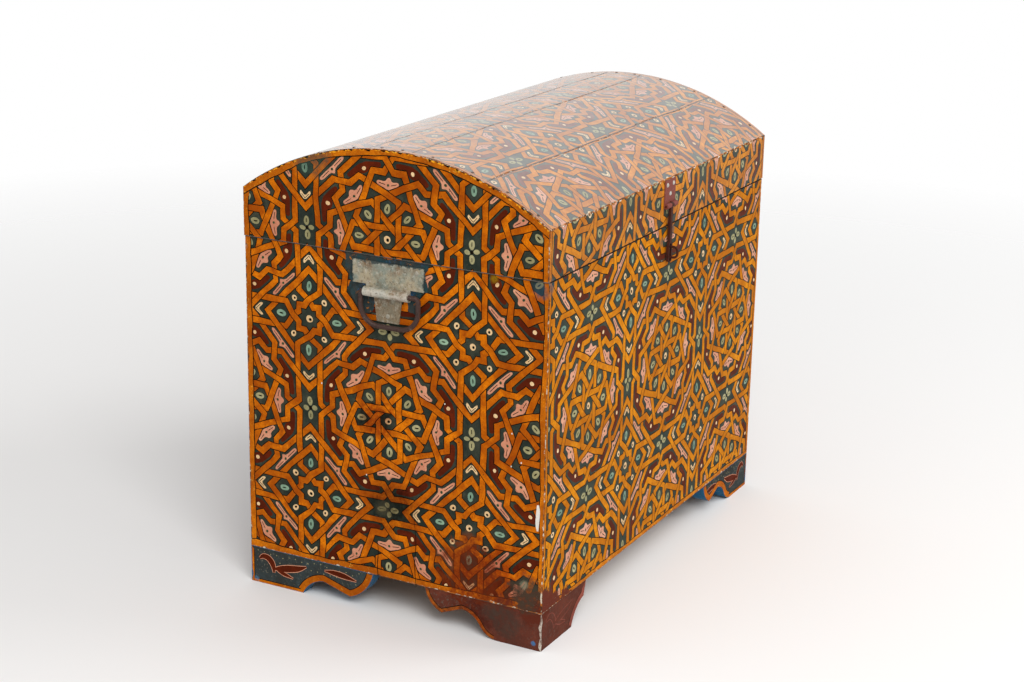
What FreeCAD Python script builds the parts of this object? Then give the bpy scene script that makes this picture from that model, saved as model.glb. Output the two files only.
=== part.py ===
import FreeCAD, Part
import Sketcher
import math
import os

# Dome-topped painted chest on bracket feet. Millimetres, +Z up, floor at z = 0.
# +X runs along the length, the front with the hasp faces -Y.

Vector = FreeCAD.Vector
Rotation = FreeCAD.Rotation

DRIVING_SIZES = [
    ("case_length", 576.0),
    ("case_depth", 370.0),
    ("case_height", 361.0),
    ("foot_height", 43.0),
    ("wall", 18.0),
    ("finger_count", 11),
    ("bottom_board", 14.0),
    ("batten_width", 45.0),
    ("batten_depth", 14.0),
    ("bracket_wall", 18.0),
    ("corner_block", 34.0),
    ("tall_flat", 70.0),
    ("tall_notch", 97.0),
    ("tall_lobe", 132.0),
    ("tall_reach", 162.0),
    ("plain_flat", 52.0),
    ("plain_notch", 96.0),
    ("plain_lobe", 121.0),
    ("plain_reach", 142.0),
    ("worn_flat", 72.0),
    ("worn_notch", 101.0),
    ("worn_reach", 106.0),
    ("lid_gap", 0.8),
    ("lid_overhang", 2.0),
    ("lid_wall", 16.0),
    ("eave_height", 54.5),
    ("crown_rise", 60.0),
    ("stave_wall", 10.0),
    ("nail_head", 2.6),
    ("nail_shank", 1.2),
    ("nail_proud", 1.0),
    ("short_nail", 11.0),
    ("stave_nail", 22.0),
    ("stave_nail_seat", 0.4),
    ("plate_wall", 1.6),
    ("handle_plate_width", 87.0),
    ("handle_plate_height", 25.5),
    ("handle_drop", 38.0),
    ("handle_plate_shift", 3.5),
    ("handle_top_gap", 5.5),
    ("handle_roll_wall", 2.3),
    ("handle_tongue_top", 34.0),
    ("handle_tongue_foot", 27.0),
    ("handle_tongue_drop", 32.0),
    ("handle_nail_margin", 6.0),
    ("handle_nail_drop", 25.0),
    ("bail_width", 76.0),
    ("bail_drop", 39.0),
    ("bail_wire", 2.75),
    ("bail_bend", 1.75),
    ("bail_lift", 0.35),
    ("bail_clearance", 0.08),
    ("hinge_width", 42.0),
    ("hinge_leaf", 38.0),
    ("hinge_pin", 2.0),
    ("hinge_knuckle", 4.0),
    ("hinge_spacing", 330.0),
    ("hinge_relief", 0.6),
    ("hinge_cap", 1.2),
    ("hinge_cap_gap", 0.2),
    ("pin_clearance", 0.06),
    ("hasp_centre", 2.0),
    ("hasp_plate_width", 28.0),
    ("hasp_plate_margin", 1.5),
    ("hasp_nail_spacing", 16.0),
    ("hasp_relief", 0.8),
    ("hasp_strap_width", 5.6),
    ("hasp_strap_wall", 3.0),
    ("hasp_strap_length", 66.0),
    ("hasp_eye_width", 10.4),
    ("hasp_eye_length", 24.0),
    ("hasp_axis_height", 24.0),
    ("hasp_knuckle", 3.0),
    ("hasp_pin_wire", 1.2),
    ("hasp_pin_proud", 0.8),
    ("hasp_slot_side", 0.9),
    ("hasp_slot_end", 0.4),
    ("hasp_slot_low", 1.2),
    ("staple_wire", 1.35),
    ("staple_reach", 14.5),
    ("staple_height", 15.0),
    ("staple_drop", 30.0),
    ("joint_play", 0.3),
]

# Where the lid's boards meet, as fractions of the depth from the front eave.
STAVE_JOINTS = (0.0, 0.19, 0.44, 0.575, 0.81, 1.0)

# Bracket profiles: the runs come from the sheet under the profile's name. The shares of the
# foot height are for the top of the notch, the tip of the lobe and the turn of the foot's curve.
BRACKET_TALL = ("tall", 0.455, 0.215, None)
BRACKET_PLAIN = ("plain", 0.63, 0.40, 0.27)
BRACKET_WORN = ("worn", 0.61, None, None)

doc = FreeCAD.newDocument("painted_chest")
sheet = doc.addObject("Spreadsheet::Sheet", "sizes")
for row, (alias, number) in enumerate(DRIVING_SIZES, start=1):
    sheet.set("A%d" % row, alias)
    sheet.set("B%d" % row, str(number))
    sheet.setAlias("B%d" % row, alias)
doc.recompute()


class Size:
    """A length that knows both its expression on the sheet and its present value."""

    def __init__(self, text, value):
        self.text = text
        self.value = float(value)

    def __add__(self, other):
        other = size(other)
        return Size("(%s + %s)" % (self.text, other.text), self.value + other.value)

    def __sub__(self, other):
        other = size(other)
        return Size("(%s - %s)" % (self.text, other.text), self.value - other.value)

    def __mul__(self, other):
        other = size(other)
        return Size("(%s * %s)" % (self.text, other.text), self.value * other.value)

    def __truediv__(self, other):
        other = size(other)
        return Size("(%s / %s)" % (self.text, other.text), self.value / other.value)

    def __radd__(self, other):
        return size(other) + self

    def __rsub__(self, other):
        return size(other) - self

    def __rmul__(self, other):
        return size(other) * self

    def __neg__(self):
        return size(0.0) - self


def size(number):
    if isinstance(number, Size):
        return number
    return Size("%.6f" % number, number)


def root(length):
    return Size("sqrt(%s)" % length.text, math.sqrt(length.value))


named = {alias: Size("sizes.%s" % alias, number) for alias, number in DRIVING_SIZES}

length = named["case_length"]
depth = named["case_depth"]
height = named["case_height"]
foot = named["foot_height"]
wall = named["wall"]
play = named["joint_play"]
plate_wall = named["plate_wall"]
parting = foot + height
lid_low = parting + named["lid_gap"]

# The dome is part of a cylinder along X through both eaves and the crown.
half_depth = depth / 2
crown_rise = named["crown_rise"]
outer_radius = (half_depth * half_depth + crown_rise * crown_rise) / (crown_rise * 2)
inner_radius = outer_radius - named["stave_wall"]
dome_axis = parting + named["eave_height"] + crown_rise - outer_radius

# Local x, y, z of a board drawn flat become these world directions.
TURN_FRONT = Rotation(Vector(1, 0, 0), 90)
TURN_BACK = Rotation(Vector(0, 0, 1), 180).multiply(TURN_FRONT)
TURN_RIGHT = Rotation(Vector(1, 1, 1), 120)
TURN_LEFT = Rotation(Vector(0, 0, 1), 180).multiply(TURN_RIGHT)
FLAT = Rotation()

finished = []


def place(piece, where, turn=FLAT):
    piece.Placement = FreeCAD.Placement(Vector(*[size(part).value for part in where]), turn)
    for axis, part in zip("xyz", where):
        piece.setExpression("Placement.Base.%s" % axis, size(part).text)


def finish(piece, label):
    piece.Label = label
    finished.append((piece, label))
    return piece


def bind(sketch, kind, elements, length_size):
    row = sketch.addConstraint(Sketcher.Constraint(kind, *elements, length_size.value))
    sketch.setExpression("Constraints[%d]" % row, length_size.text)


def sketch_on(body, name, role, lift=None):
    plane = [item for item in body.Origin.OriginFeatures if item.Role == role][0]
    sketch = body.newObject("Sketcher::SketchObject", name)
    sketch.AttachmentSupport = [(plane, "")]
    sketch.MapMode = "FlatFace"
    if lift is not None:
        sketch.AttachmentOffset = FreeCAD.Placement(Vector(0, 0, lift.value), Rotation())
        sketch.setExpression("AttachmentOffset.Base.z", lift.text)
    return sketch


def arc_points(start, end, bulge):
    """Radius and a middle point of an arc whose sagitta is bulge times its chord."""
    run = end[0] - start[0]
    rise = end[1] - start[1]
    chord = root(run * run + rise * rise)
    share = abs(bulge)
    radius = chord * (1.0 / (8.0 * share) + share / 2.0)
    middle = Vector(
        (start[0].value + end[0].value) / 2 + rise.value * bulge,
        (start[1].value + end[1].value) / 2 - run.value * bulge, 0)
    return radius, middle


def draw(sketch, corners, bends=None, closed=True):
    """Draw corners joined by lines, or by arcs where bends gives a sagitta share.

    A positive share bends the side to the right of its direction of travel.
    """
    bends = bends or {}
    corners = [(size(x), size(y)) for x, y in corners]
    count = len(corners)
    sides = count if closed else count - 1
    first_row = len(sketch.Geometry)
    starts = []
    ends = []
    for side in range(sides):
        start = corners[side]
        end = corners[(side + 1) % count]
        start_point = Vector(start[0].value, start[1].value, 0)
        end_point = Vector(end[0].value, end[1].value, 0)
        geometry = first_row + side
        if side in bends:
            radius, middle = arc_points(start, end, bends[side])
            sketch.addGeometry(Part.Arc(start_point, middle, end_point))
            bind(sketch, "Radius", [geometry], radius)
            forward = sketch.getPoint(geometry, 1).distanceToPoint(start_point) < 1e-6
            starts.append((geometry, 1 if forward else 2))
            ends.append((geometry, 2 if forward else 1))
        else:
            sketch.addGeometry(Part.LineSegment(start_point, end_point))
            starts.append((geometry, 1))
            ends.append((geometry, 2))
    for side in range(sides):
        if side + 1 < sides or closed:
            following = (side + 1) % sides
            sketch.addConstraint(Sketcher.Constraint("Coincident", *ends[side], *starts[following]))
    for index, corner in enumerate(corners):
        spot = starts[index] if index < sides else ends[index - 1]
        bind(sketch, "DistanceX", [-1, 1, *spot], corner[0])
        bind(sketch, "DistanceY", [-1, 1, *spot], corner[1])


def draw_circle(sketch, centre, radius):
    centre = (size(centre[0]), size(centre[1]))
    radius = size(radius)
    spot = Vector(centre[0].value, centre[1].value, 0)
    geometry = sketch.addGeometry(Part.Circle(spot, Vector(0, 0, 1), radius.value))
    bind(sketch, "Radius", [geometry], radius)
    bind(sketch, "DistanceX", [-1, 1, geometry, 3], centre[0])
    bind(sketch, "DistanceY", [-1, 1, geometry, 3], centre[1])


def board(label, corners, thickness, where, turn, bends=None):
    """A flat piece padded from its outline."""
    body = doc.addObject("PartDesign::Body", label)
    outline = sketch_on(body, label + "_outline", "XY_Plane")
    draw(outline, corners, bends)
    pad = body.newObject("PartDesign::Pad", label + "_pad")
    pad.Profile = outline
    pad.Length = size(thickness).value
    pad.setExpression("Length", size(thickness).text)
    place(body, where, turn)
    return finish(body, label)


def pocket_through(body, sketch, name):
    """Cut a sketch right through the body, both ways."""
    doc.recompute()
    before = body.Shape.Volume
    pocket = body.newObject("PartDesign::Pocket", name)
    pocket.Profile = sketch
    pocket.Type = "ThroughAll"
    pocket.Midplane = True
    doc.recompute()
    if not body.Shape.Volume < before - 1.0:
        raise RuntimeError("%s cuts nothing" % name)
    return pocket


def rectangle(x, y, width, tall):
    return [(x, y), (x + width, y), (x + width, y + tall), (x, y + tall)]


def box(name, extents, where, turn=FLAT):
    piece = doc.addObject("Part::Box", name)
    for field, extent in zip(("Length", "Width", "Height"), extents):
        piece.setExpression(field, size(extent).text)
    place(piece, where, turn)
    return piece


def rod(name, radius, tall, where, turn=FLAT):
    piece = doc.addObject("Part::Cylinder", name)
    piece.setExpression("Radius", size(radius).text)
    piece.setExpression("Height", size(tall).text)
    place(piece, where, turn)
    return piece


def joined(name, pieces):
    fuse = doc.addObject("Part::MultiFuse", name)
    fuse.Shapes = pieces
    fuse.Refine = True
    return fuse


def minus(name, base, tool):
    cut = doc.addObject("Part::Cut", name)
    cut.Base = base
    cut.Tool = tool
    cut.Refine = True
    return cut


ALONG_X = Rotation(Vector(0, 1, 0), 90)
ALONG_Y = Rotation(Vector(1, 0, 0), -90)


def bow(name, radius, wire, centre, start_angle):
    """A quarter bend of round wire in the local x-y plane."""
    piece = doc.addObject("Part::Torus", name)
    piece.setExpression("Radius1", size(radius).text)
    piece.setExpression("Radius2", size(wire).text)
    piece.Angle3 = 90
    place(piece, (centre[0], centre[1], 0), Rotation(Vector(0, 0, 1), start_angle))
    return piece


# Case walls: four boards finger-jointed over their whole height.
finger = height / named["finger_count"]
fingers = int(named["finger_count"].value)


def jointed_wall(label, span, sockets_from, where, turn):
    """A wall whose two ends carry sockets for the neighbour's fingers."""
    body = board(label, rectangle(size(0), size(0), span, height), wall, where, turn)
    sockets = sketch_on(body, label + "_sockets", "XY_Plane")
    low = finger * sockets_from
    draw(sockets, rectangle(size(0), low, wall, finger))
    draw(sockets, rectangle(span - wall, low, wall, finger))
    pocket = pocket_through(body, sockets, label + "_first_sockets")
    repeats = (fingers - 1) // 2 + 1 - sockets_from
    pattern = body.newObject("PartDesign::LinearPattern", label + "_fingers")
    pattern.Originals = [pocket]
    pattern.Direction = (sockets, ["V_Axis"])
    pattern.Occurrences = repeats
    reach = finger * (2 * (repeats - 1))
    pattern.setExpression("Length", reach.text)
    pattern.setExpression(
        "Occurrences", "(sizes.finger_count - 1) / 2 + %d" % (1 - sockets_from))
    body.Tip = pattern
    return body


front_panel = jointed_wall("front_panel", length, 1, (-length / 2, -half_depth + wall, foot), TURN_FRONT)
back_panel = jointed_wall("back_panel", length, 1, (-length / 2, half_depth, foot), TURN_FRONT)
jointed_wall("left_end_panel", depth, 0, (-length / 2, -half_depth, foot), TURN_RIGHT)
jointed_wall("right_end_panel", depth, 0, (length / 2 - wall, -half_depth, foot), TURN_RIGHT)

# The staple's two legs pass through the front wall.
staple_wire = named["staple_wire"]
staple_spread = named["staple_height"] / 2 - staple_wire
staple_level = height - named["staple_drop"]
staple_x = length / 2 + named["hasp_centre"]
leg_holes = sketch_on(front_panel, "front_panel_staple_holes", "XY_Plane")
draw_circle(leg_holes, (staple_x, staple_level + staple_spread), staple_wire + 0.05)
draw_circle(leg_holes, (staple_x, staple_level - staple_spread), staple_wire + 0.05)
front_panel.Tip = pocket_through(front_panel, leg_holes, "front_panel_staple_cut")

# Floor boards lie between the walls, level with their lower edges, on two battens.
floor_length = length - wall * 2
floor_depth = depth - wall * 2
for index, row in enumerate(("front", "middle", "back")):
    label = "bottom_board_" + row
    start = -half_depth + wall + floor_depth * index / 3
    finish(box(label, (floor_length, floor_depth / 3, named["bottom_board"]),
               (-length / 2 + wall, start, foot)), label)
batten_width = named["batten_width"]
for side, sign in (("left", -1), ("right", 1)):
    label = "bottom_batten_" + side
    finish(box(label, (batten_width, depth - named["bracket_wall"] * 2, named["batten_depth"]),
               (length * sign / 8 - batten_width / 2, -half_depth + named["bracket_wall"],
                foot - named["batten_depth"])), label)


# Bracket feet: pairs of sawn boards mitred at the corners, with a block behind each.
def bracket(label, profile, span, mirrored, where, turn, inner_at_start):
    name, notch_share, lobe_share, curve_share = profile
    flat = named[name + "_flat"]
    notch = named[name + "_notch"]
    corners = [(0.0, 0.0), (flat, 0.0)]
    bends = {}
    if curve_share:
        bends[len(corners) - 1] = 0.12
        corners.append((flat + (notch - flat) * 0.48, foot * curve_share))
    bends[len(corners) - 1] = -0.13
    corners.append((notch, foot * notch_share))
    if lobe_share:
        corners.append((named[name + "_lobe"], foot * lobe_share))
        bends[len(corners) - 1] = 0.14
    corners += [(named[name + "_reach"], foot), (0.0, foot)]
    corners = [(size(run), size(rise)) for run, rise in corners]
    if mirrored:
        corners = [(span - run, rise) for run, rise in corners]
        bends = {side: -share for side, share in bends.items()}
    thickness = named["bracket_wall"]
    body = board(label, corners, thickness, where, turn, bends)
    mitre = sketch_on(body, label + "_mitre", "XZ_Plane")
    deep = size(0) if inner_at_start else thickness
    flush = thickness if inner_at_start else size(0)
    corner = size(0)
    inner = thickness
    if mirrored:
        corner = span
        inner = span - thickness
    draw(mitre, [(corner, deep), (inner, deep), (corner, flush)])
    body.Tip = pocket_through(body, mitre, label + "_mitre_cut")
    return body


bracket_wall = named["bracket_wall"]
FRONT_PROFILES = {"left": BRACKET_WORN, "right": BRACKET_PLAIN}
for row in ("front", "back"):
    for side in ("left", "right"):
        corner = "%s_%s_foot" % (row, side)
        along_profile = FRONT_PROFILES[side] if row == "front" else BRACKET_PLAIN
        along_y = -half_depth + bracket_wall if row == "front" else half_depth
        bracket(corner + "_" + row, along_profile, length, side == "right",
                (-length / 2, along_y, 0), TURN_FRONT, row == "front")
        end_profile = BRACKET_PLAIN if row == "front" else BRACKET_TALL
        end_x = -length / 2 if side == "left" else length / 2 - bracket_wall
        bracket(corner + "_end", end_profile, depth, row == "back",
                (end_x, -half_depth, 0), TURN_RIGHT, side == "right")
        block = named["corner_block"]
        block_x = -length / 2 + bracket_wall if side == "left" else length / 2 - bracket_wall - block
        block_y = -half_depth + bracket_wall if row == "front" else half_depth - bracket_wall - block
        finish(box(corner + "_block", (block, block, foot - 1), (block_x, block_y, 1)),
               corner + "_block")


# Nails: a domed-over flat head on a shank, drawn along local z with the head outside.
def nails(label, spots):
    """One node of nails; every spot is (position, turn, shank length)."""
    pieces = []
    for index, (where, turn, shank) in enumerate(spots):
        name = "%s_%d" % (label, index + 1)
        head = doc.addObject("Part::Cone", name + "_head")
        head.setExpression("Radius1", named["nail_head"].text)
        head.setExpression("Radius2", (named["nail_head"] * 0.55).text)
        head.setExpression("Height", named["nail_proud"].text)
        place(head, where, turn)
        inward = turn.multVec(Vector(0, 0, -1))
        start = [size(part) + size(shank) * step for part, step in zip(where, inward)]
        pin = rod(name + "_shank", named["nail_shank"], shank, start, turn)
        pieces.append(joined(name, [head, pin]))
    group = doc.addObject("Part::Compound", label)
    group.Links = pieces
    return finish(group, label)


# Drop handles: a folded sheet plate with a rolled knuckle, and an iron bail turning in it.
def handle(side, turn, outward):
    label = side + "_handle"
    pivot_level = parting - named["handle_drop"]
    face = length * outward / 2
    bail_wire = named["bail_wire"]
    bore = bail_wire + named["bail_clearance"]
    pivot_off = plate_wall + bail_wire + named["bail_lift"]
    knuckle = bore + named["handle_roll_wall"]
    width = named["handle_plate_width"]
    top = named["handle_drop"] - named["handle_top_gap"]
    shoulder = top - named["handle_plate_height"]
    roll = named["bail_width"] * 0.71
    tongue = named["handle_tongue_top"] / 2
    tongue_foot = named["handle_tongue_foot"] / 2
    tongue_low = -named["handle_tongue_drop"]
    roll_low = -knuckle * 1.2
    outline = [(-width / 2, shoulder), (-roll / 2, shoulder), (-roll / 2, roll_low),
               (-tongue, roll_low), (-tongue_foot, tongue_low), (tongue_foot, tongue_low),
               (tongue, roll_low), (roll / 2, roll_low), (roll / 2, shoulder), (width / 2, shoulder),
               (width / 2, top), (-width / 2, top)]
    plate = doc.addObject("PartDesign::Body", label + "_sheet")
    sketch = sketch_on(plate, label + "_sheet_outline", "XY_Plane")
    draw(sketch, outline)
    pad = plate.newObject("PartDesign::Pad", label + "_sheet_pad")
    pad.Profile = sketch
    pad.setExpression("Length", plate_wall.text)
    place(plate, (0, 0, 0))
    tube = rod(label + "_roll", knuckle, roll, (-roll / 2, 0, pivot_off), ALONG_X)
    behind = box(label + "_behind", (roll + 2, knuckle * 4, knuckle * 2),
                 (-roll / 2 - 1, -knuckle * 2, -knuckle * 2))
    flat_tube = minus(label + "_flat_roll", tube, behind)
    solid = joined(label + "_blank", [plate, flat_tube])
    hole = rod(label + "_bore", bore, roll + 2, (-roll / 2 - 1, 0, pivot_off), ALONG_X)
    drilled = minus(label + "_plate", solid, hole)
    shift = named["handle_plate_shift"]
    place(drilled, (face, shift, pivot_level), turn)
    finish(drilled, label + "_plate")

    reach = named["bail_width"] / 2 - bail_wire
    drop = -(named["bail_drop"] - bail_wire)
    bend = bail_wire + named["bail_bend"]
    foot_bend = named["bail_drop"] * 0.56
    tip = named["bail_width"] * 0.21
    pieces = []
    for way in (-1, 1):
        name = "%s_bail_%s" % (label, "a" if way < 0 else "b")
        pivot_start = -reach + bend if way < 0 else tip
        pieces.append(rod(name + "_pivot", bail_wire, reach - bend - tip, (pivot_start, 0, 0), ALONG_X))
        pieces.append(bow(name + "_shoulder", bend, bail_wire, ((reach - bend) * way, -bend),
                          90 if way < 0 else 0))
        pieces.append(rod(name + "_side", bail_wire, -bend - drop - foot_bend,
                          (reach * way, drop + foot_bend, 0), ALONG_Y))
        pieces.append(bow(name + "_corner", foot_bend, bail_wire,
                          ((reach - foot_bend) * way, drop + foot_bend), 180 if way < 0 else 270))
    pieces.append(rod(label + "_bail_grip", bail_wire, (reach - foot_bend) * 2,
                      (-reach + foot_bend, drop, 0), ALONG_X))
    bail = joined(label + "_bail", pieces)
    place(bail, (face + pivot_off * outward, 0, pivot_level), turn)
    finish(bail, label + "_bail")

    spots = []
    nail_row = top - named["handle_nail_margin"]
    for across, up in ((-0.40, nail_row), (0.40, nail_row), (0.0, -named["handle_nail_drop"])):
        spots.append(((face + plate_wall * outward, width * across + shift, pivot_level + up),
                      turn.multiply(FLAT), named["short_nail"]))
    nails(label + "_nails", spots)


handle("left", TURN_LEFT, -1)
handle("right", TURN_RIGHT, 1)


# Lid frame and dome. All are drawn in the end view about the dome's axis.
overhang = named["lid_overhang"]
lid_wall = named["lid_wall"]
lid_length = length + overhang * 2
rim = lid_low - dome_axis


def dome_height(radius, across):
    return root(radius * radius - across * across)


def arc_share(radius, start, end):
    """Sagitta share of the chord between two points on a circle about the origin."""
    run = end[0].value - start[0].value
    rise = end[1].value - start[1].value
    chord = math.hypot(run, rise)
    sagitta = radius.value - math.sqrt(radius.value ** 2 - chord ** 2 / 4)
    return sagitta / chord


def lid_board(label, corners, arcs, thickness, start_x):
    """A lid piece whose curved sides (side, radius, way) all lie on the dome's circles."""
    corners = [(size(x), size(y)) for x, y in corners]
    body = doc.addObject("PartDesign::Body", label)
    sketch = sketch_on(body, label + "_outline", "XY_Plane")
    count = len(corners)
    bends = {}
    for side, radius, way in arcs:
        bends[side] = way * arc_share(radius, corners[side], corners[(side + 1) % count])
    draw_on_dome(sketch, corners, bends, {side: radius for side, radius, way in arcs})
    pad = body.newObject("PartDesign::Pad", label + "_pad")
    pad.Profile = sketch
    pad.setExpression("Length", size(thickness).text)
    place(body, (start_x, 0, dome_axis), TURN_RIGHT)
    return finish(body, label)


def draw_on_dome(sketch, corners, bends, radii):
    """As draw, with every arc's radius bound to one of the dome's radii."""
    draw(sketch, corners, bends)
    for row, constraint in enumerate(sketch.Constraints):
        if constraint.Type == "Radius":
            sketch.setExpression("Constraints[%d]" % row, radii[constraint.First].text)


eave_inner = dome_height(inner_radius, half_depth)
for side, start_x in (("left", -lid_length / 2), ("right", lid_length / 2 - lid_wall)):
    lid_board("lid_%s_gable" % side,
              [(-half_depth, rim), (half_depth, rim), (half_depth, eave_inner),
               (-half_depth, eave_inner)],
              [(2, inner_radius, 1)], lid_wall, start_x)
rail_length = lid_length - lid_wall * 2
for row, sign in (("front", -1), ("back", 1)):
    outside = half_depth * sign
    inside = (half_depth - lid_wall) * sign
    lid_board("lid_%s_rail" % row,
              [(outside, rim), (inside, rim), (inside, dome_height(inner_radius, inside)),
               (outside, eave_inner)],
              [(2, inner_radius, -sign)], rail_length, -rail_length / 2)

shrink = inner_radius / outer_radius
stave_centres = []
last_joint = len(STAVE_JOINTS) - 1
for index in range(last_joint):
    edges = []
    for joint in (index, index + 1):
        across = depth * (STAVE_JOINTS[joint] - 0.5)
        top = (across, dome_height(outer_radius, across))
        if joint in (0, last_joint):
            low = (across, eave_inner)
        else:
            low = (across * shrink, top[1] * shrink)
        edges.append((low, top))
    (low_a, top_a), (low_b, top_b) = edges
    lid_board("lid_stave_%d" % (index + 1), [low_a, low_b, top_b, top_a],
              [(0, inner_radius, -1), (2, outer_radius, 1)], lid_length, -lid_length / 2)
    stave_centres.append((STAVE_JOINTS[index] + STAVE_JOINTS[index + 1]) / 2)

# Two nails through each end of every stave into the gables, pointing at the dome's axis.
spots = []
for end_sign in (-1, 1):
    for index in range(last_joint):
        for share in (0.25, 0.75):
            at = STAVE_JOINTS[index] + (STAVE_JOINTS[index + 1] - STAVE_JOINTS[index]) * share
            across = depth * (at - 0.5)
            lean = math.degrees(math.asin(across.value / outer_radius.value))
            radial = Rotation(Vector(1, 0, 0), -lean)
            seat = outer_radius - named["stave_nail_seat"]
            scale = seat / outer_radius
            spots.append((((lid_length / 2 - lid_wall / 2) * end_sign, across * scale,
                           dome_axis + dome_height(outer_radius, across) * scale), radial,
                          named["stave_nail"]))
nails("lid_stave_nails", spots)


# Butt hinges on the back: two leaves wrapped round a pin at the parting line.
hinge_knuckle = named["hinge_knuckle"]
hinge_pin = named["hinge_pin"]
hinge_width = named["hinge_width"]
hinge_leaf = named["hinge_leaf"]
hinge_y = half_depth + hinge_knuckle
middle_knuckle = hinge_width / 3
outer_knuckle = (hinge_width - middle_knuckle) / 2 - play


def hinge(side, sign):
    label = side + "_hinge"
    left = named["hinge_spacing"] * sign / 2 - hinge_width / 2
    bore = hinge_pin + named["pin_clearance"]
    clear = hinge_knuckle + named["hinge_relief"]
    case_ends = (left, left + hinge_width - outer_knuckle)
    pieces = [box(label + "_case_sheet", (hinge_width, plate_wall, hinge_leaf - clear),
                  (left, half_depth, parting - hinge_leaf))]
    for index, start in enumerate(case_ends):
        name = "%s_case_%d" % (label, index + 1)
        pieces.append(box(name + "_ear", (outer_knuckle, plate_wall, clear),
                          (start, half_depth, parting - clear)))
        pieces.append(rod(name + "_roll", hinge_knuckle, outer_knuckle,
                          (start, hinge_y, parting), ALONG_X))
    blank = joined(label + "_case_blank", pieces)
    hole = rod(label + "_case_bore", bore, hinge_width + 2, (left - 1, hinge_y, parting), ALONG_X)
    finish(minus(label + "_case_leaf", blank, hole), label + "_case_leaf")

    start = left + hinge_width / 2 - middle_knuckle / 2
    lid_pieces = [
        box(label + "_lid_sheet", (hinge_width, plate_wall, hinge_leaf - clear),
            (left, half_depth, parting + clear)),
        box(label + "_lid_ear", (middle_knuckle, plate_wall, clear), (start, half_depth, parting)),
        rod(label + "_lid_roll", hinge_knuckle, middle_knuckle, (start, hinge_y, parting), ALONG_X)]
    lid_blank = joined(label + "_lid_blank", lid_pieces)
    lid_hole = rod(label + "_lid_bore", bore, hinge_width + 2, (left - 1, hinge_y, parting), ALONG_X)
    finish(minus(label + "_lid_leaf", lid_blank, lid_hole), label + "_lid_leaf")

    shaft = rod(label + "_shaft", hinge_pin, hinge_width, (left, hinge_y, parting), ALONG_X)
    cap = named["hinge_cap"]
    gap = named["hinge_cap_gap"]
    caps = [rod(label + "_cap_left", hinge_pin * 1.5, cap, (left - gap - cap, hinge_y, parting), ALONG_X),
            rod(label + "_cap_right", hinge_pin * 1.5, cap, (left + hinge_width + gap, hinge_y, parting),
                ALONG_X)]
    long_shaft = rod(label + "_ends", hinge_pin, hinge_width + gap * 2, (left - gap, hinge_y, parting),
                     ALONG_X)
    finish(joined(label + "_pin", [shaft, long_shaft] + caps), label + "_pin")


hinge("left", -1)
hinge("right", 1)
for body_name, way, rows in (("case", -1, (0.35, 0.75)), ("lid", 1, (0.35, 0.75))):
    spots = []
    for sign in (-1, 1):
        for across in (-0.3, 0.3):
            for up in rows:
                spots.append(((named["hinge_spacing"] * sign / 2 + hinge_width * across,
                               half_depth + plate_wall, parting + hinge_leaf * up * way),
                              TURN_BACK, named["short_nail"]))
    nails("hinge_%s_nails" % body_name, spots)


# Hasp: a nailed plate on the lid, a strap hung from its knuckles and a staple on the case.
hasp_x = named["hasp_centre"]
hasp_knuckle = named["hasp_knuckle"]
hasp_pin_wire = named["hasp_pin_wire"]
hasp_bore = hasp_pin_wire + named["pin_clearance"]
hasp_plate_width = named["hasp_plate_width"]
strap_width = named["hasp_strap_width"]
axis_y = -half_depth - hasp_knuckle
axis_z = parting + named["hasp_axis_height"]
plate_left = hasp_x - hasp_plate_width / 2
ear_width = (hasp_plate_width - strap_width) / 2 - play
plate_low = axis_z + hasp_knuckle + named["hasp_relief"]
plate_high = parting + named["eave_height"] - named["hasp_plate_margin"]
pieces = [box("hasp_sheet", (hasp_plate_width, plate_wall, plate_high - plate_low),
              (plate_left, -half_depth - plate_wall, plate_low))]
for index, start in enumerate((plate_left, plate_left + hasp_plate_width - ear_width)):
    pieces.append(box("hasp_ear_%d" % index, (ear_width, plate_wall, plate_low - axis_z),
                      (start, -half_depth - plate_wall, axis_z)))
    pieces.append(rod("hasp_roll_%d" % index, hasp_knuckle, ear_width, (start, axis_y, axis_z), ALONG_X))
hasp_blank = joined("hasp_blank", pieces)
hasp_hole = rod("hasp_hole", hasp_bore, hasp_plate_width + 2, (plate_left - 1, axis_y, axis_z), ALONG_X)
finish(minus("hasp_plate", hasp_blank, hasp_hole), "hasp_plate")
pin_proud = named["hasp_pin_proud"]
finish(rod("hasp_pin", hasp_pin_wire, hasp_plate_width + pin_proud * 2,
           (plate_left - pin_proud, axis_y, axis_z), ALONG_X), "hasp_pin")

# The strap is drawn from the axis downwards: a narrow shank, then an eye with a slot for the staple.
strap_wall = named["hasp_strap_wall"]
strap_length = named["hasp_strap_length"]
strap = doc.addObject("PartDesign::Body", "hasp_strap_flat")
strap_sketch = sketch_on(strap, "hasp_strap_outline", "XY_Plane")
half_strap = strap_width / 2
half_eye = named["hasp_eye_width"] / 2
neck = named["hasp_eye_length"] - strap_length
shoulder = neck - (half_eye - half_strap) * 1.6
foot = half_eye - strap_length
draw(strap_sketch, [(half_strap, 0.0), (-half_strap, 0.0), (-half_strap, neck), (-half_eye, shoulder),
                    (-half_eye, foot), (half_eye, foot), (half_eye, shoulder), (half_strap, neck)],
     {4: 0.499})
strap_pad = strap.newObject("PartDesign::Pad", "hasp_strap_pad")
strap_pad.Profile = strap_sketch
strap_pad.setExpression("Length", strap_wall.text)
slot = sketch_on(strap, "hasp_strap_slot", "XY_Plane")
slot_middle = -(named["hasp_axis_height"] + named["staple_drop"])
slot_reach = named["staple_height"] / 2 + named["hasp_slot_end"]
slot_half = staple_wire + named["hasp_slot_side"]
slot_low = slot_middle - slot_reach - named["hasp_slot_low"]
slot_high = slot_middle + slot_reach
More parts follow.
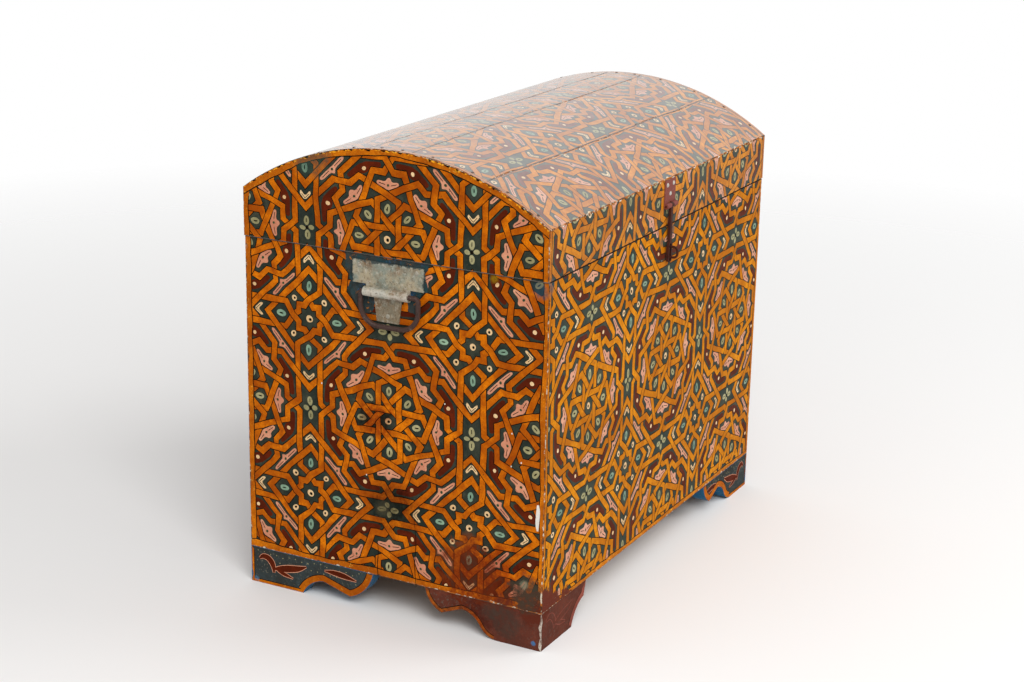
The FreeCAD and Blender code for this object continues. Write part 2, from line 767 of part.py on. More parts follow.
draw(slot, [(-slot_half, slot_low), (slot_half, slot_low), (slot_half, slot_high), (-slot_half, slot_high)],
     {0: 0.42, 2: 0.42})
strap.Tip = pocket_through(strap, slot, "hasp_strap_slot_cut")
place(strap, (hasp_x, axis_y + strap_wall / 2, axis_z), TURN_FRONT)
strap_roll = rod("hasp_strap_roll", hasp_knuckle, strap_width, (hasp_x - half_strap, axis_y, axis_z), ALONG_X)
strap_blank = joined("hasp_strap_blank", [strap, strap_roll])
strap_hole = rod("hasp_strap_hole", hasp_bore, strap_width + 2, (hasp_x - half_strap - 1, axis_y, axis_z),
                 ALONG_X)
finish(minus("hasp_strap", strap_blank, strap_hole), "hasp_strap")

spots = []
for across, up in ((-0.5, 0.78), (0.5, 0.78), (0.0, 0.36)):
    spots.append(((hasp_x + named["hasp_nail_spacing"] * across, -half_depth - plate_wall,
                   plate_low + (plate_high - plate_low) * up), TURN_FRONT, named["short_nail"]))
nails("hasp_nails", spots)

# The staple is one bent wire: in through the wall, out, and back in below.
inside = wall + 1
nose = -(named["staple_reach"] - staple_wire)
turn_in = staple_spread * 0.8
pieces = []
for way in (-1, 1):
    name = "hasp_staple_%s" % ("low" if way < 0 else "high")
    pieces.append(rod(name + "_leg", staple_wire, inside - nose - turn_in,
                      (nose + turn_in, staple_spread * way, 0), ALONG_X))
    pieces.append(bow(name + "_bend", turn_in, staple_wire,
                      (nose + turn_in, (staple_spread - turn_in) * way), 180 if way < 0 else 90))
pieces.append(rod("hasp_staple_nose", staple_wire, (staple_spread - turn_in) * 2,
                  (nose, turn_in - staple_spread, 0), ALONG_Y))
staple = joined("hasp_staple", pieces)
place(staple, (hasp_x, -half_depth, parting - named["staple_drop"]), TURN_RIGHT)
finish(staple, "hasp_staple")

doc.recompute()
failed = [item.Name for item in doc.Objects if "Invalid" in item.State or "Error" in item.State]
if failed:
    raise RuntimeError("failed objects: %s" % ", ".join(failed))
for piece, label in finished:
    if piece.Shape.isNull() or not piece.Shape.isValid():
        raise RuntimeError("bad shape: %s" % label)

os.makedirs("parts", exist_ok=True)
for piece, label in finished:
    piece.Shape.exportStep(os.path.join("parts", label + ".step"))
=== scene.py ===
import math
from functools import partialmethod

import bpy
import numpy as np
from mathutils import Euler, Matrix, Vector, geometry, noise


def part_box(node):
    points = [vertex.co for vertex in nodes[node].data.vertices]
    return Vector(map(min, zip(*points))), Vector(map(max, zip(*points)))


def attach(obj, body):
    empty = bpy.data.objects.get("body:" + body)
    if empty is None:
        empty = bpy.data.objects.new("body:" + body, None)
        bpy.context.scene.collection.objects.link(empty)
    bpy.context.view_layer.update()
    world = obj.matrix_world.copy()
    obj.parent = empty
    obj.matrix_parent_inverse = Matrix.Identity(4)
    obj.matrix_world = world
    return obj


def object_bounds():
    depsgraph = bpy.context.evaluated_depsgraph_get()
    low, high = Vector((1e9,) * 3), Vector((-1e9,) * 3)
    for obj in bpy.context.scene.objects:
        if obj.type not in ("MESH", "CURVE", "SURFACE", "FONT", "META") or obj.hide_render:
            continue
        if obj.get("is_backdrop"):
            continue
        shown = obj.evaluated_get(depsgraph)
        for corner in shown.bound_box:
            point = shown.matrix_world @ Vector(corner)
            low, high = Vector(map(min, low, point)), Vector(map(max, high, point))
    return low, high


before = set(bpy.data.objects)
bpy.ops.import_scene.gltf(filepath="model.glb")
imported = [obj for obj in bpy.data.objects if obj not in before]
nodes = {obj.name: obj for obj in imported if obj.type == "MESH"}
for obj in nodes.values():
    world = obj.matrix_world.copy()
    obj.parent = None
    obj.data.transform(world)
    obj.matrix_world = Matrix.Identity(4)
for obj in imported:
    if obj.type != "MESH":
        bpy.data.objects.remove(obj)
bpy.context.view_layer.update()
scene = bpy.context.scene

# Without a seed, the noise that moves the painted lines would differ from run to run.
HAND_SEED = 5
noise.seed_set(HAND_SEED)

# Sizes of the chest, in millimetres, from the solids' own boxes.
MM = 0.001
EAVE_RISE = 54.5


def box_mm(node):
    low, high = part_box(node)
    return [value / MM for value in low], [value / MM for value in high]


front_low, front_high = box_mm("front_panel")
gable_low, gable_high = box_mm("lid_left_gable")
HALF_LENGTH = front_high[0]
HALF_DEPTH = box_mm("left_end_panel")[1][1]
DEPTH = 2 * HALF_DEPTH
CASE_LOW = front_low[2]
PARTING = front_high[2]
LID_HALF = -gable_low[0]
LID_LOW = gable_low[2]
EAVE = PARTING + EAVE_RISE
CROWN = box_mm("lid_stave_3")[1][2]

# The dome's circle runs through its crown and both eaves.
dome_rise = CROWN - EAVE
DOME_RADIUS = (HALF_DEPTH ** 2 + dome_rise ** 2) / (2 * dome_rise)
DOME_AXIS = CROWN - DOME_RADIUS
DOME_HALF_ANGLE = math.asin(HALF_DEPTH / DOME_RADIUS)
DOME_ARC = 2 * DOME_HALF_ANGLE * DOME_RADIUS


def dome_point(radius, angle):
    """Depth and height of a point of the dome; the angle counts from the crown to the rear."""
    return radius * math.sin(angle), DOME_AXIS + radius * math.cos(angle)


# Geometry helpers

def rotated(point, degrees):
    angle = math.radians(degrees)
    cosine, sine = math.cos(angle), math.sin(angle)
    return point[0] * cosine - point[1] * sine, point[0] * sine + point[1] * cosine


def between(start, end, share):
    return start[0] + (end[0] - start[0]) * share, start[1] + (end[1] - start[1]) * share


def pushed(point, way, reach):
    return point[0] + way[0] * reach, point[1] + way[1] * reach


def unit_normal(start, end):
    """The unit vector to the left of the way from start to end."""
    dx, dy = end[0] - start[0], end[1] - start[1]
    size = math.hypot(dx, dy)
    return -dy / size, dx / size


def mitre(before, after, sharpest):
    """The way to the left at a bend between two normals, longer than one so that the width holds."""
    nx, ny = before[0] + after[0], before[1] + after[1]
    size = math.hypot(nx, ny)
    stretch = 1 / max(sharpest, (nx * after[0] + ny * after[1]) / size)
    return nx / size * stretch, ny / size * stretch


def sides(polygon):
    """Each side of a closed polygon, as its start and its end."""
    return zip(polygon, polygon[1:] + polygon[:1])


def bends(polygon):
    """Each corner of a closed polygon, between the corners before and after it."""
    return zip(polygon[-1:] + polygon[:-1], polygon, polygon[1:] + polygon[:1])


def steps(first, last, count):
    """A stretch cut into count equal parts, each as its start and its end."""
    marks = [first + (last - first) * part / count for part in range(count + 1)]
    return list(zip(marks, marks[1:]))


def area(polygon):
    return sum(start[0] * end[1] - end[0] * start[1] for start, end in sides(polygon)) / 2


def leftward(polygon):
    """The polygon with its corners counter-clockwise."""
    return polygon if area(polygon) > 0 else polygon[::-1]


def sizable(polygon, least=1e-3):
    return len(polygon) >= 3 and area(polygon) > least


def clip_half(polygon, nx, ny, limit):
    """The part of a polygon where nx * x + ny * y is at most limit."""
    kept = []
    for start, end in sides(polygon):
        a = start[0] * nx + start[1] * ny - limit
        b = end[0] * nx + end[1] * ny - limit
        if a <= 0:
            kept.append(start)
        if (a < 0 < b) or (b < 0 < a):
            kept.append(between(start, end, a / (a - b)))
    return kept


def clip_convex(polygon, region):
    """Clip a polygon to a convex region given counter-clockwise."""
    for start, end in sides(region):
        if len(polygon) < 3:
            return []
        nx, ny = end[1] - start[1], start[0] - end[0]
        polygon = clip_half(polygon, nx, ny, start[0] * nx + start[1] * ny)
    return polygon


def triangles(outline):
    corners = [Vector((x, y, 0)) for x, y in outline]
    threes = geometry.tessellate_polygon([corners])
    return [leftward([outline[corner] for corner in three]) for three in threes]


def convex_pieces(outline):
    """The outline itself if it is convex, otherwise its triangles."""
    for before, here, after in bends(outline):
        left = (here[0] - before[0]) * (after[1] - here[1])
        right = (here[1] - before[1]) * (after[0] - here[0])
        if left < right - 1e-12:
            return triangles(outline)
    return [outline]


def inner_point(outline):
    """A point well inside a simple polygon: the middle of its largest triangle."""
    largest = max(triangles(outline), key=area, default=outline[:1])
    return [sum(values) / len(largest) for values in zip(*largest)]


def holds(polygon, spots):
    """For each spot whether it lies in the polygon."""
    inside = np.zeros(len(spots), dtype=bool)
    x, y = spots.T
    for (ax, ay), (bx, by) in sides(polygon):
        if ay != by:
            inside ^= ((y < ay) != (y < by)) & (x < ax + (y - ay) * (bx - ax) / (by - ay))
    return inside


VALID_FACES = 4


def painted_faces(layers, whole, fine=1e-3):
    """Cut overlapping layers into convex faces inside the whole, each with its top layer's tint."""
    corners = []
    loops = []
    for tint, height, polygon in layers:
        loops.append(list(range(len(corners), len(corners) + len(polygon))))
        corners += [Vector(point) for point in polygon]
    made = geometry.delaunay_2d_cdt(corners, [], loops, VALID_FACES, fine)
    outlines = [[tuple(made[0][corner]) for corner in face] for face in made[2]]
    inner = np.array([inner_point(outline) for outline in outlines])
    tints = np.full(len(outlines), None)
    for tint, height, polygon in sorted(reversed(layers), key=lambda layer: layer[1]):
        tints[holds(polygon, inner)] = tint
    tints[~holds(whole, inner)] = None
    return [(tint, piece) for tint, outline in zip(tints, outlines) if tint
            for piece in convex_pieces(outline)]


def rectangle(left, low, right, high):
    return [(left, low), (right, low), (right, high), (left, high)]


def ellipse(centre, across, along, count=14):
    angles = [math.tau * step / count for step in range(count)]
    return [(centre[0] + across * math.cos(angle), centre[1] + along * math.sin(angle)) for angle in angles]


def widened(ends, half):
    """A length of strap of some half width; each end is a point and the way to its left."""
    (start, first), (end, second) = ends
    right = [pushed(start, first, -half), pushed(end, second, -half)]
    return right + [pushed(end, second, half), pushed(start, first, half)]


def bar(start, end, half):
    """A thin rectangle round the line from start to end."""
    normal = unit_normal(start, end)
    return widened(((start, normal), (end, normal)), half)


def mirrored(points):
    return points + [(x, -y) for x, y in reversed(points) if abs(y) > 1e-9]


def softened(polygon):
    """A closed polygon with its corners cut, as a brush rounds them."""
    return [between(start, end, share) for start, end in sides(polygon) for share in (0.2, 0.8)]


# The interlace, in lattice units: rosettes sit at whole numbers, small stars at the halves.
STAR_LINE = 0.066
CROSSING = 0.237
INNER = 0.352
OUTER = 0.432
BEND = 0.0974
SWAP = 0.030
LEAN = 0.002
HUB = 0.080
HUB_HALF = 0.024
STRAP_HALF = 0.0163
EDGE_HALF = 0.0209
DIAMOND = 0.268
PETAL_CORNER = CROSSING - STAR_LINE / math.tan(math.radians(67.5))
OVER, AT_HUB, UNDER = 20, 15, 10
CELL = rectangle(-0.5, -0.5, 0.5, 0.5)

# A strap's way out from its petal beside the next axis, and how it goes on there.
WAY_OUT = [(INNER, -BEND), (INNER + LEAN, -SWAP), (OUTER - LEAN, SWAP)]
ON_STRAIGHT = [(OUTER, 0.35), (0.5, 0.4), (0.527, 0.437), (0.564, 0.436), (0.563, 0.473)]
ON_DIAGONAL = [(OUTER, 0.25)]


def diagonal_end(start, towards):
    """Run a diagonal strap on to the cell's edge, and one point past it as if reflected there."""
    dx, dy = towards[0] - start[0], towards[1] - start[1]
    reach_x = (math.copysign(0.5, dx) - start[0]) / dx
    reach_y = (math.copysign(0.5, dy) - start[1]) / dy
    x, y = between(start, towards, min(reach_x, reach_y))
    way = 1 if reach_x < reach_y else -1
    return [(x, y), (x + way * dx, y - way * dy)]


def outward(axis, way):
    """The end of a strap from a petal's corner out to the lattice, way +1 turning left."""
    local = WAY_OUT + (ON_STRAIGHT if axis % 2 else ON_DIAGONAL)
    points = [rotated((PETAL_CORNER, -STAR_LINE * way), 45 * axis)]
    points += [rotated((x, y * way), 45 * (axis + way)) for x, y in local]
    return points if axis % 2 else points[:-1] + diagonal_end(*points[-2:])


def strap_table():
    """The straps of three by three rosettes and of the stars between: (points, whether through a hub)."""
    straps = []
    for column in (-1, 0, 1):
        for row in (-1, 0, 1):
            for line in range(8):
                path = outward(line + 4, 1)[::-1] + outward(line, -1)
                straps.append(([(x + column, y + row) for x, y in path], True))
    for x in (-1.5, -0.5, 0.5, 1.5):
        for y in (-1.5, -0.5, 0.5, 1.5):
            ring = [(x + DIAMOND, y), (x, y + DIAMOND), (x - DIAMOND, y), (x, y - DIAMOND)]
            straps.append((ring[3:] + ring + ring[:2], False))
    return straps


def strap_crossings(straps):
    """For each strap its crossings as (distance along, other strap, other distance).

    The first and the last segment of a strap only guide its ends, and don't count.
    """
    segments = []
    for index, (points, through_hub) in enumerate(straps):
        run = math.dist(points[0], points[1])
        for start, end in zip(points[1:-2], points[2:-1]):
            length = math.dist(start, end)
            segments.append((*start, *end, index, run, length))
            run += length
    ax, ay, bx, by, owner, run, length = np.array(segments).T
    dx, dy = bx - ax, by - ay
    cross = np.outer(dx, dy) - np.outer(dy, dx)
    gap_x, gap_y = ax - ax[:, None], ay - ay[:, None]
    with np.errstate(divide="ignore", invalid="ignore"):
        t = (gap_x * dy - gap_y * dx) / cross
        u = (gap_x * dy[:, None] - gap_y * dx[:, None]) / cross
    hit = (np.abs(cross) > 1e-9) & (owner != owner[:, None])
    for share in (t, u):
        hit &= (share > 1e-4) & (share < 1 - 1e-4)
    found = [[] for strap in straps]
    for first, second in zip(*np.nonzero(hit)):
        share = t[first, second]
        x, y = ax[first] + share * dx[first], ay[first] + share * dy[first]
        if math.hypot(x - round(x), y - round(y)) >= HUB:
            along = run[first] + share * length[first]
            there = run[second] + u[first, second] * length[second]
            found[int(owner[first])].append((along, int(owner[second]), there))
    return [sorted(crossings) for crossings in found]


def weave(found):
    """For each strap whether it goes over at its first crossing; from there it alternates."""
    place = {}
    for strap, crossings in enumerate(found):
        for order, (along, other, there) in enumerate(crossings):
            place[(strap, round(along, 5))] = order
    over = {}
    for seed in range(len(found)):
        waiting = [(seed, True)]
        while waiting:
            strap, state = waiting.pop()
            if strap in over:
                continue
            over[strap] = state
            for step, (along, other, there) in enumerate(found[strap]):
                match = place.get((other, round(there, 5)))
                if match is not None:
                    waiting.append((other, state == ((step + match) % 2 == 1)))
    return over


def strap_pieces(points, through_hub, crossings, first_over):
    """Cut a strap half way between its crossings into lengths: (height, ends with the ways to their left)."""
    runs = [0.0]
    normals = []
    for start, end in zip(points, points[1:]):
        runs.append(runs[-1] + math.dist(start, end))
        normals.append(unit_normal(start, end))
    corners = [mitre(*pair, 0.35) for pair in zip(normals[:1] + normals, normals + normals[-1:])]
    cuts = [(one[0] + two[0]) / 2 for one, two in zip(crossings, crossings[1:])]
    hub = runs[-1] / 2
    hub_cuts = [hub - HUB_HALF, hub + HUB_HALF] if through_hub else []
    stations = sorted(set(round(value, 6) for value in cuts + hub_cuts + runs[1:-1]))
    stations = [value for value in stations if runs[1] - 1e-6 <= value <= runs[-2] + 1e-6]
    pieces = []
    for low, high in zip(stations, stations[1:]):
        if high - low < 1e-5:
            continue
        middle = (low + high) / 2
        order = min(sum(cut < middle for cut in cuts), len(crossings) - 1)
        step = max(index for index in range(len(normals)) if runs[index] <= middle)
        ends = []
        for value in (low, high):
            share = (value - runs[step]) / (runs[step + 1] - runs[step])
            way = normals[step]
            for corner in (step, step + 1):
                if abs(value - runs[corner]) < 2e-6:
                    way = corners[corner]
            ends.append((between(points[step], points[step + 1], share), way))
        height = OVER if first_over == (order % 2 == 0) else UNDER
        if through_hub and abs(middle - hub) < HUB_HALF:
            height = AT_HUB
        pieces.append((height, ends))
    return pieces


def motif_table():
    """The painted fillings between the straps of a cell: (paint, layer, polygon)."""
    shapes = []

    def ring(centre, count, turn, fillings):
        """Fillings repeated round a centre, the first ones turned by some degrees."""
        for step in range(count):
            for paint, layer, polygon in fillings:
                turned = [rotated(point, turn + 360 / count * step) for point in polygon]
                shapes.append((paint, layer, [(x + centre[0], y + centre[1]) for x, y in turned]))

    rosette = (0, 0)
    elbow = 22.5
    arm = ((0.373, 0.098), (0.372, 0.058), (0.384, 0.046), (0.402, 0.054))
    boomerang = mirrored([(0.360, 0), *(rotated(point, -elbow) for point in arm), (0.430, 0)])
    bird = mirrored([(0.264, 0), (0.281, 0.042), (0.288, 0.066), (0.300, 0.073), (0.311, 0.064),
                     (0.307, 0.024), (0.329, 0.007)])
    plank = mirrored([(0.224, 0), (0.221, 0.088), (0.232, 0.100), (0.243, 0.090), (0.245, 0.020),
                      (0.264, 0.002)])
    chevron = [(0.5, 0.148), (0.537, 0.186), (0.531, 0.204), (0.5, 0.172), (0.469, 0.204), (0.463, 0.186)]
    eye = [
        ("cream", 1, ellipse((0, 0), 0.019, 0.019)),
        ("line", 2, ellipse((-0.003, -0.002), 0.0085, 0.0085, 10)),
    ]
    ring(rosette, 1, 0, eye)
    ring(rosette, 8, 0, [
        ("sage", 1, ellipse((0.170, 0), 0.027, 0.0182)),
        ("line", 2, ellipse((0.172, 0), 0.013, 0.0042, 8)),
        ("pink", 1, softened(bird)),
        ("leaf", 2, ellipse((0.290, -0.001), 0.0078, 0.0078, 8)),
        ("line", 2, bar((0.291, -0.020), (0.299, -0.058), 0.002)),
        ("line", 2, bar((0.291, 0.020), (0.299, 0.058), 0.002)),
    ])
    ring(rosette, 8, elbow, [
        ("russet", 1, softened(boomerang)),
        ("cream", 2, ellipse((0.390, 0), 0.0115, 0.0115, 10)),
    ])
    for way in (-1, 1):
        ring(rosette, 4, 0, [
            ("sage", 1, ellipse((0.5, 0.039 * way), 0.0165, 0.0265)),
            ("line", 2, bar((0.5, 0.030 * way), (0.5, 0.052 * way), 0.0022)),
            ("sage", 1, ellipse((0.5 + 0.027 * way, 0.004), 0.018, 0.014, 10)),
            ("cream", 1, softened([(x, y * way) for x, y in chevron])),
            ("line", 2, bar((0.5, 0.160 * way), (0.476, 0.185 * way), 0.0018)),
            ("line", 2, bar((0.5, 0.160 * way), (0.524, 0.185 * way), 0.0018)),
        ])
    ring(rosette, 4, 0, [("line", 2, ellipse((0.5, 0), 0.0095, 0.0095, 8))])
    for star in CELL:
        ring(star, 1, 0, eye)
        ring(star, 4, 0, [
            ("mint", 1, ellipse((0.176, 0), 0.029, 0.0165)),
            ("line", 2, ellipse((0.177, 0), 0.013, 0.0038, 8)),
        ])
        ring(star, 4, 45, [
            ("cream", 1, ellipse((0.138, 0), 0.0175, 0.0165, 12)),
            ("line", 2, ellipse((0.136, 0.001), 0.0072, 0.0072, 8)),
            ("pink", 1, softened(plank)),
            ("leaf", 2, ellipse((0.236, 0), 0.008, 0.008, 8)),
            ("line", 2, bar((0.233, -0.022), (0.232, -0.080), 0.0019)),
            ("line", 2, bar((0.233, 0.022), (0.232, 0.080), 0.0019)),
        ])
    return shapes


def painted_cell():
    """One lattice cell as flat faces that meet edge to edge: (paint, polygon)."""
    layers = [("ground", 0, CELL)] + motif_table()
    straps = strap_table()
    found = strap_crossings(straps)
    over = weave(found)
    for index, strap in enumerate(straps):
        for height, ends in strap_pieces(*strap, found[index], over[index]):
            layers.append(("line", height, widened(ends, EDGE_HALF)))
            layers.append(("strap", height + 1, widened(ends, STRAP_HALF)))
    clipped = [(tint, height, clip_convex(leftward(polygon), CELL)) for tint, height, polygon in layers]
    return painted_faces([layer for layer in clipped if sizable(layer[2], 1e-8)], CELL, 1e-5)


cell_faces = painted_cell()


# Materials

def linear(colour):
    """Linear light of a colour given as three parts up to 255."""
    shares = [value / 255 for value in colour]
    return [share / 12.92 if share <= 0.04045 else ((share + 0.055) / 1.055) ** 2.4 for share in shares]


# How far the ragged edge of a mark reaches, as a share of its radius.
RAGGED = 0.55


class Finish:
    """A material or world under construction; a colour is three parts up to 255 or a node's output."""

    def __init__(self, name, kind="materials"):
        self.owner = getattr(bpy.data, kind).new(name)
        self.owner.use_nodes = True
        self.tree = self.owner.node_tree
        self.places = self.make("ShaderNodeTexCoord").outputs
        self.spot = self.places["Object"]
        self.ragged = None

    def make(self, kind, inputs=None, **fields):
        node = self.tree.nodes.new(kind)
        for field, value in fields.items():
            setattr(node, field, value)
        for socket, value in (inputs or {}).items():
            self.feed(node.inputs[socket], value)
        return node

    def feed(self, socket, value):
        if isinstance(value, bpy.types.NodeSocket):
            self.tree.links.new(value, socket)
        else:
            socket.default_value = (*value, 1) if socket.type == "RGBA" else value

    def set(self, inputs):
        shader = self.tree.nodes["Principled BSDF"]
        for name, value in inputs.items():
            self.feed(shader.inputs[name], value)

    def done(self, colour, rough, height, strength, distance, others=None):
        """Set the shader's inputs and a bump, and give the material."""
        bump = self.make("ShaderNodeBump", {"Height": height, "Strength": strength, "Distance": distance})
        inputs = {"Base Color": colour, "Roughness": rough, "Normal": bump.outputs["Normal"]}
        self.set({**inputs, **(others or {})})
        return self.owner

    def noise(self, scale, detail=4, rough=0.55, shift=(0, 0, 0), stretch=(1, 1, 1)):
        mapping = self.make("ShaderNodeMapping", {"Vector": self.spot, "Scale": stretch, "Location": shift})
        inputs = {"Vector": mapping.outputs["Vector"], "Scale": scale, "Detail": detail, "Roughness": rough}
        return self.make("ShaderNodeTexNoise", inputs).outputs["Fac"]

    def ramp(self, source, low, high, start=0, end=1):
        inputs = {"Value": source, "From Min": low, "From Max": high, "To Min": start, "To Max": end}
        return self.make("ShaderNodeMapRange", inputs).outputs["Result"]

    def mix(self, share, first, second, blend="MIX"):
        first, second = (linear(value) if isinstance(value, tuple) else value for value in (first, second))
        inputs = {0: share, 6: first, 7: second}
        return self.make("ShaderNodeMix", inputs, data_type="RGBA", blend_type=blend).outputs[2]

    def cover(self, under, colour, source, low, high, most=1):
        """Lay a colour over another: none where the source is low, most where high; a tuple is a noise."""
        source = self.noise(*source) if isinstance(source, tuple) else source
        return self.mix(self.ramp(source, low, high, 0, most), under, colour)

    def calc(self, kind, first, second=0):
        return self.make("ShaderNodeMath", {0: first, 1: second}, operation=kind).outputs[0]

    plus = partialmethod(calc, "ADD")
    minus = partialmethod(calc, "SUBTRACT")
    times = partialmethod(calc, "MULTIPLY")
    size = partialmethod(calc, "ABSOLUTE")
    beyond = partialmethod(calc, "GREATER_THAN")

    def axes(self):
        return self.make("ShaderNodeSeparateXYZ", {0: self.spot}).outputs

    def waver(self, reach):
        """An uneven length of up to reach mm either way, which makes the edges of marks ragged."""
        if self.ragged is None:
            self.ragged = self.ramp(self.noise(75, 8, 0.75), 0.28, 0.72, -1, 1)
        return self.times(self.ragged, reach * MM)

    def near(self, centre, radius, soft):
        """One inside a ragged ball round centre, falling to nought outside it."""
        inputs = {0: self.spot, 1: [value * MM for value in centre]}
        node = self.make("ShaderNodeVectorMath", inputs, operation="DISTANCE")
        reach = self.plus(node.outputs["Value"], self.waver(radius * RAGGED))
        return self.ramp(reach, (radius + soft) * MM, (radius - soft) * MM)


def laid_paint(finish, paint, seed):
    """Colour and height of hand-laid paint: thin and thick strokes, grain, small chips."""
    blend, deep, worn, wear = paint
    for scale, most, shift in ((130, 0.5, 0), (38, 0.7, 3.1), (12, 0.6, 6.7)):
        blend = finish.cover(blend, deep, (scale, 5, 0.62, (seed, shift, 0)), 0.42, 0.62, most)
    blend = finish.cover(blend, deep, (700, 2, 0.6, (0, seed, 0)), 0.35, 0.65, 0.35)
    flecks = finish.ramp(finish.noise(380, 3, 0.6, (0, 0, seed)), wear, wear + 0.04)
    chips = finish.times(flecks, finish.ramp(finish.noise(16, 6, 0.65), 0.50, 0.66, 0.2))
    height = finish.plus(finish.noise(240), finish.times(chips, -1.5))
    return finish.mix(chips, blend, worn), height


# Marks of age: centre in mm, radius, softness, colour, strength, and way of mixing if it isn't plain.
END_MARKS = [
    ((-288, -98, 70), 36, 3, (124, 56, 16), 0.62),
    ((-288, -134, 54), 22, 3, (116, 54, 20), 0.55),
    ((-288, -96, 104), 14, 3, (128, 58, 16), 0.58),
    ((-288, -118, 62), 46, 8, (206, 150, 130), 0.80, "MULTIPLY"),
    ((-288, 18, 222), 20, 5, (176, 130, 108), 0.85, "MULTIPLY"),
    ((-288, -176, 48), 20, 2, (92, 40, 26), 1.4),
    ((-288, -142, 40), 15, 2, (92, 40, 26), 0.85),
    ((-288, -168, 62), 20, 3, (66, 58, 46), 0.85),
    ((-288, -164, 72), 5, 1.5, (132, 138, 112), 0.60),
    ((-288, 0, 128), 26, 10, (128, 108, 84), 0.75, "MULTIPLY"),
    ((-288, 10, 122), 9, 3, (84, 78, 58), 0.45),
    ((-288, -176, 396), 8, 3, (44, 70, 86), 0.70),
    ((-288, -122, 400), 4, 2, (160, 128, 16), 0.55),
    ((-290, 98, 503), 22, 6, (52, 74, 62), 0.60),
    ((-288, -144, 26), 17, 4, (66, 56, 48), 0.70),
    ((-288, -122, 32), 9, 3, (66, 58, 50), 0.60),
    ((-288, -176, 8), 2.2, 0.8, (60, 120, 170), 0.95),
    ((-288, 178, 4), 3.5, 1, (74, 116, 144), 0.90),
]
FRONT_MARKS = [
    ((-284, -185, 44), 26, 2, (100, 46, 32), 1.6),
    ((-262, -185, 38), 21, 2, (100, 46, 32), 1.6),
    ((-236, -185, 35), 17, 2, (100, 46, 32), 1.5),
    ((-12, -185, 388), 5, 2, (62, 80, 82), 0.70),
    ((14, -185, 396), 7, 2, (62, 80, 82), 0.65),
    ((-285, -185, 399), 7, 2.5, (58, 80, 92), 0.65),
]


def board_paint(name, paint, gloss, seed, marks):
    """Paint on a board under old varnish; gloss from 0 to 1 is how bright the varnish still is."""
    finish = Finish(name)
    blend, height = laid_paint(finish, paint, seed)
    thin = finish.ramp(finish.noise(230, 6, 0.72, (0.5, 0.1, 0.2)), 0.40, 0.56, 0.55)
    for centre, radius, soft, stain, strength, *way in marks:
        share = finish.times(finish.near(centre, radius, soft), strength)
        blend = finish.mix(finish.times(share, thin), blend, stain, *way)
    rough = finish.ramp(finish.noise(60), 0.3, 0.7, 0.42, 0.58)
    return finish.done(blend, rough, height, 0.3, 0.0004, {
        "Specular IOR Level": 0.06 + 0.44 * gloss,
        "Coat Weight": gloss,
        "Coat Roughness": 0.24,
        "Coat IOR": 1.4 + 0.4 * gloss,
    })


# Each paint: its colour, where it lies thick, where it is worn, and how seldom it is worn.
TINTS = {
    "ground": ((76, 78, 64), (46, 58, 54), (112, 90, 58), 0.66),
    "strap": ((224, 144, 8), (168, 92, 3), (112, 66, 20), 0.645),
    "line": ((40, 30, 18), (32, 24, 14), (96, 64, 34), 0.69),
    "pink": ((224, 170, 142), (194, 132, 106), (116, 62, 44), 0.63),
    "russet": ((106, 46, 30), (82, 36, 22), (64, 50, 40), 0.67),
    "sage": ((182, 176, 134), (134, 130, 92), (70, 70, 54), 0.62),
    "mint": ((152, 172, 148), (104, 130, 114), (58, 70, 64), 0.62),
    "cream": ((240, 214, 172), (210, 172, 124), (124, 86, 58), 0.63),
    "leaf": ((66, 84, 54), (46, 62, 42), (44, 44, 36), 0.67),
    "rim": ((218, 132, 14), (160, 84, 8), (236, 190, 80), 0.60),
    "slate": ((60, 72, 74), (50, 50, 46), (134, 130, 110), 0.60),
    "maroon": ((116, 58, 42), (84, 46, 36), (96, 84, 74), 0.58),
    "dulled": ((186, 98, 18), (112, 52, 26), (66, 42, 34), 0.56),
    "rose": ((166, 92, 76), (122, 62, 50), (80, 44, 34), 0.56),
    "blue": ((52, 118, 158), (40, 88, 122), (168, 158, 136), 0.60),
    "white": ((236, 233, 226), (214, 208, 196), (160, 140, 110), 0.64),
    # gilt: a painted highlight for the worn edge of the lid's arch.
    "gilt": ((244, 178, 40), (222, 132, 14), (250, 214, 120), 0.56),
}
# On the ends the paints are darker and redder than on the front: partly their own colour, partly a painted
# shade, as the ends get less light.
END_TINTS_WITH_PAINTED_SHADE = {
    "ground": ((68, 70, 57), (32, 42, 38), (96, 74, 44), 0.66),
    "strap": ((230, 127, 2), (146, 60, 0), (88, 46, 10), 0.645),
    "line": ((26, 19, 8), (20, 15, 7), (86, 54, 22), 0.69),
    "pink": ((222, 162, 128), (190, 120, 92), (108, 56, 38), 0.63),
    "russet": ((106, 34, 5), (74, 24, 6), (50, 36, 28), 0.67),
    "sage": ((184, 176, 132), (130, 124, 86), (64, 62, 42), 0.62),
    "mint": ((154, 182, 152), (106, 136, 116), (52, 64, 56), 0.62),
    "cream": ((240, 210, 162), (206, 166, 116), (120, 82, 52), 0.63),
    "rim": ((220, 124, 6), (150, 68, 3), (232, 184, 74), 0.62),
}
# On the lid the ground, russet and line are painted paler: a painted reflection of the varnish's haze.
LID_TINTS_PAINTED_REFLECTION = {
    "ground": ((100, 98, 84), (70, 76, 70), (120, 100, 72), 0.66),
    "russet": ((126, 66, 50), (104, 56, 42), (84, 66, 56), 0.67),
    "line": ((62, 50, 38), (52, 42, 32), (110, 80, 52), 0.69),
}


# Each paint's noise is moved on by this much, so that no two paints wear alike.
PAINT_SHIFT = 0.37


def palette(name, gloss, marks, changes):
    made = {}
    for order, (tint, paint) in enumerate({**TINTS, **changes}.items()):
        made[tint] = board_paint("%s_%s" % (name, tint), paint, gloss, PAINT_SHIFT * order, marks)
    return made


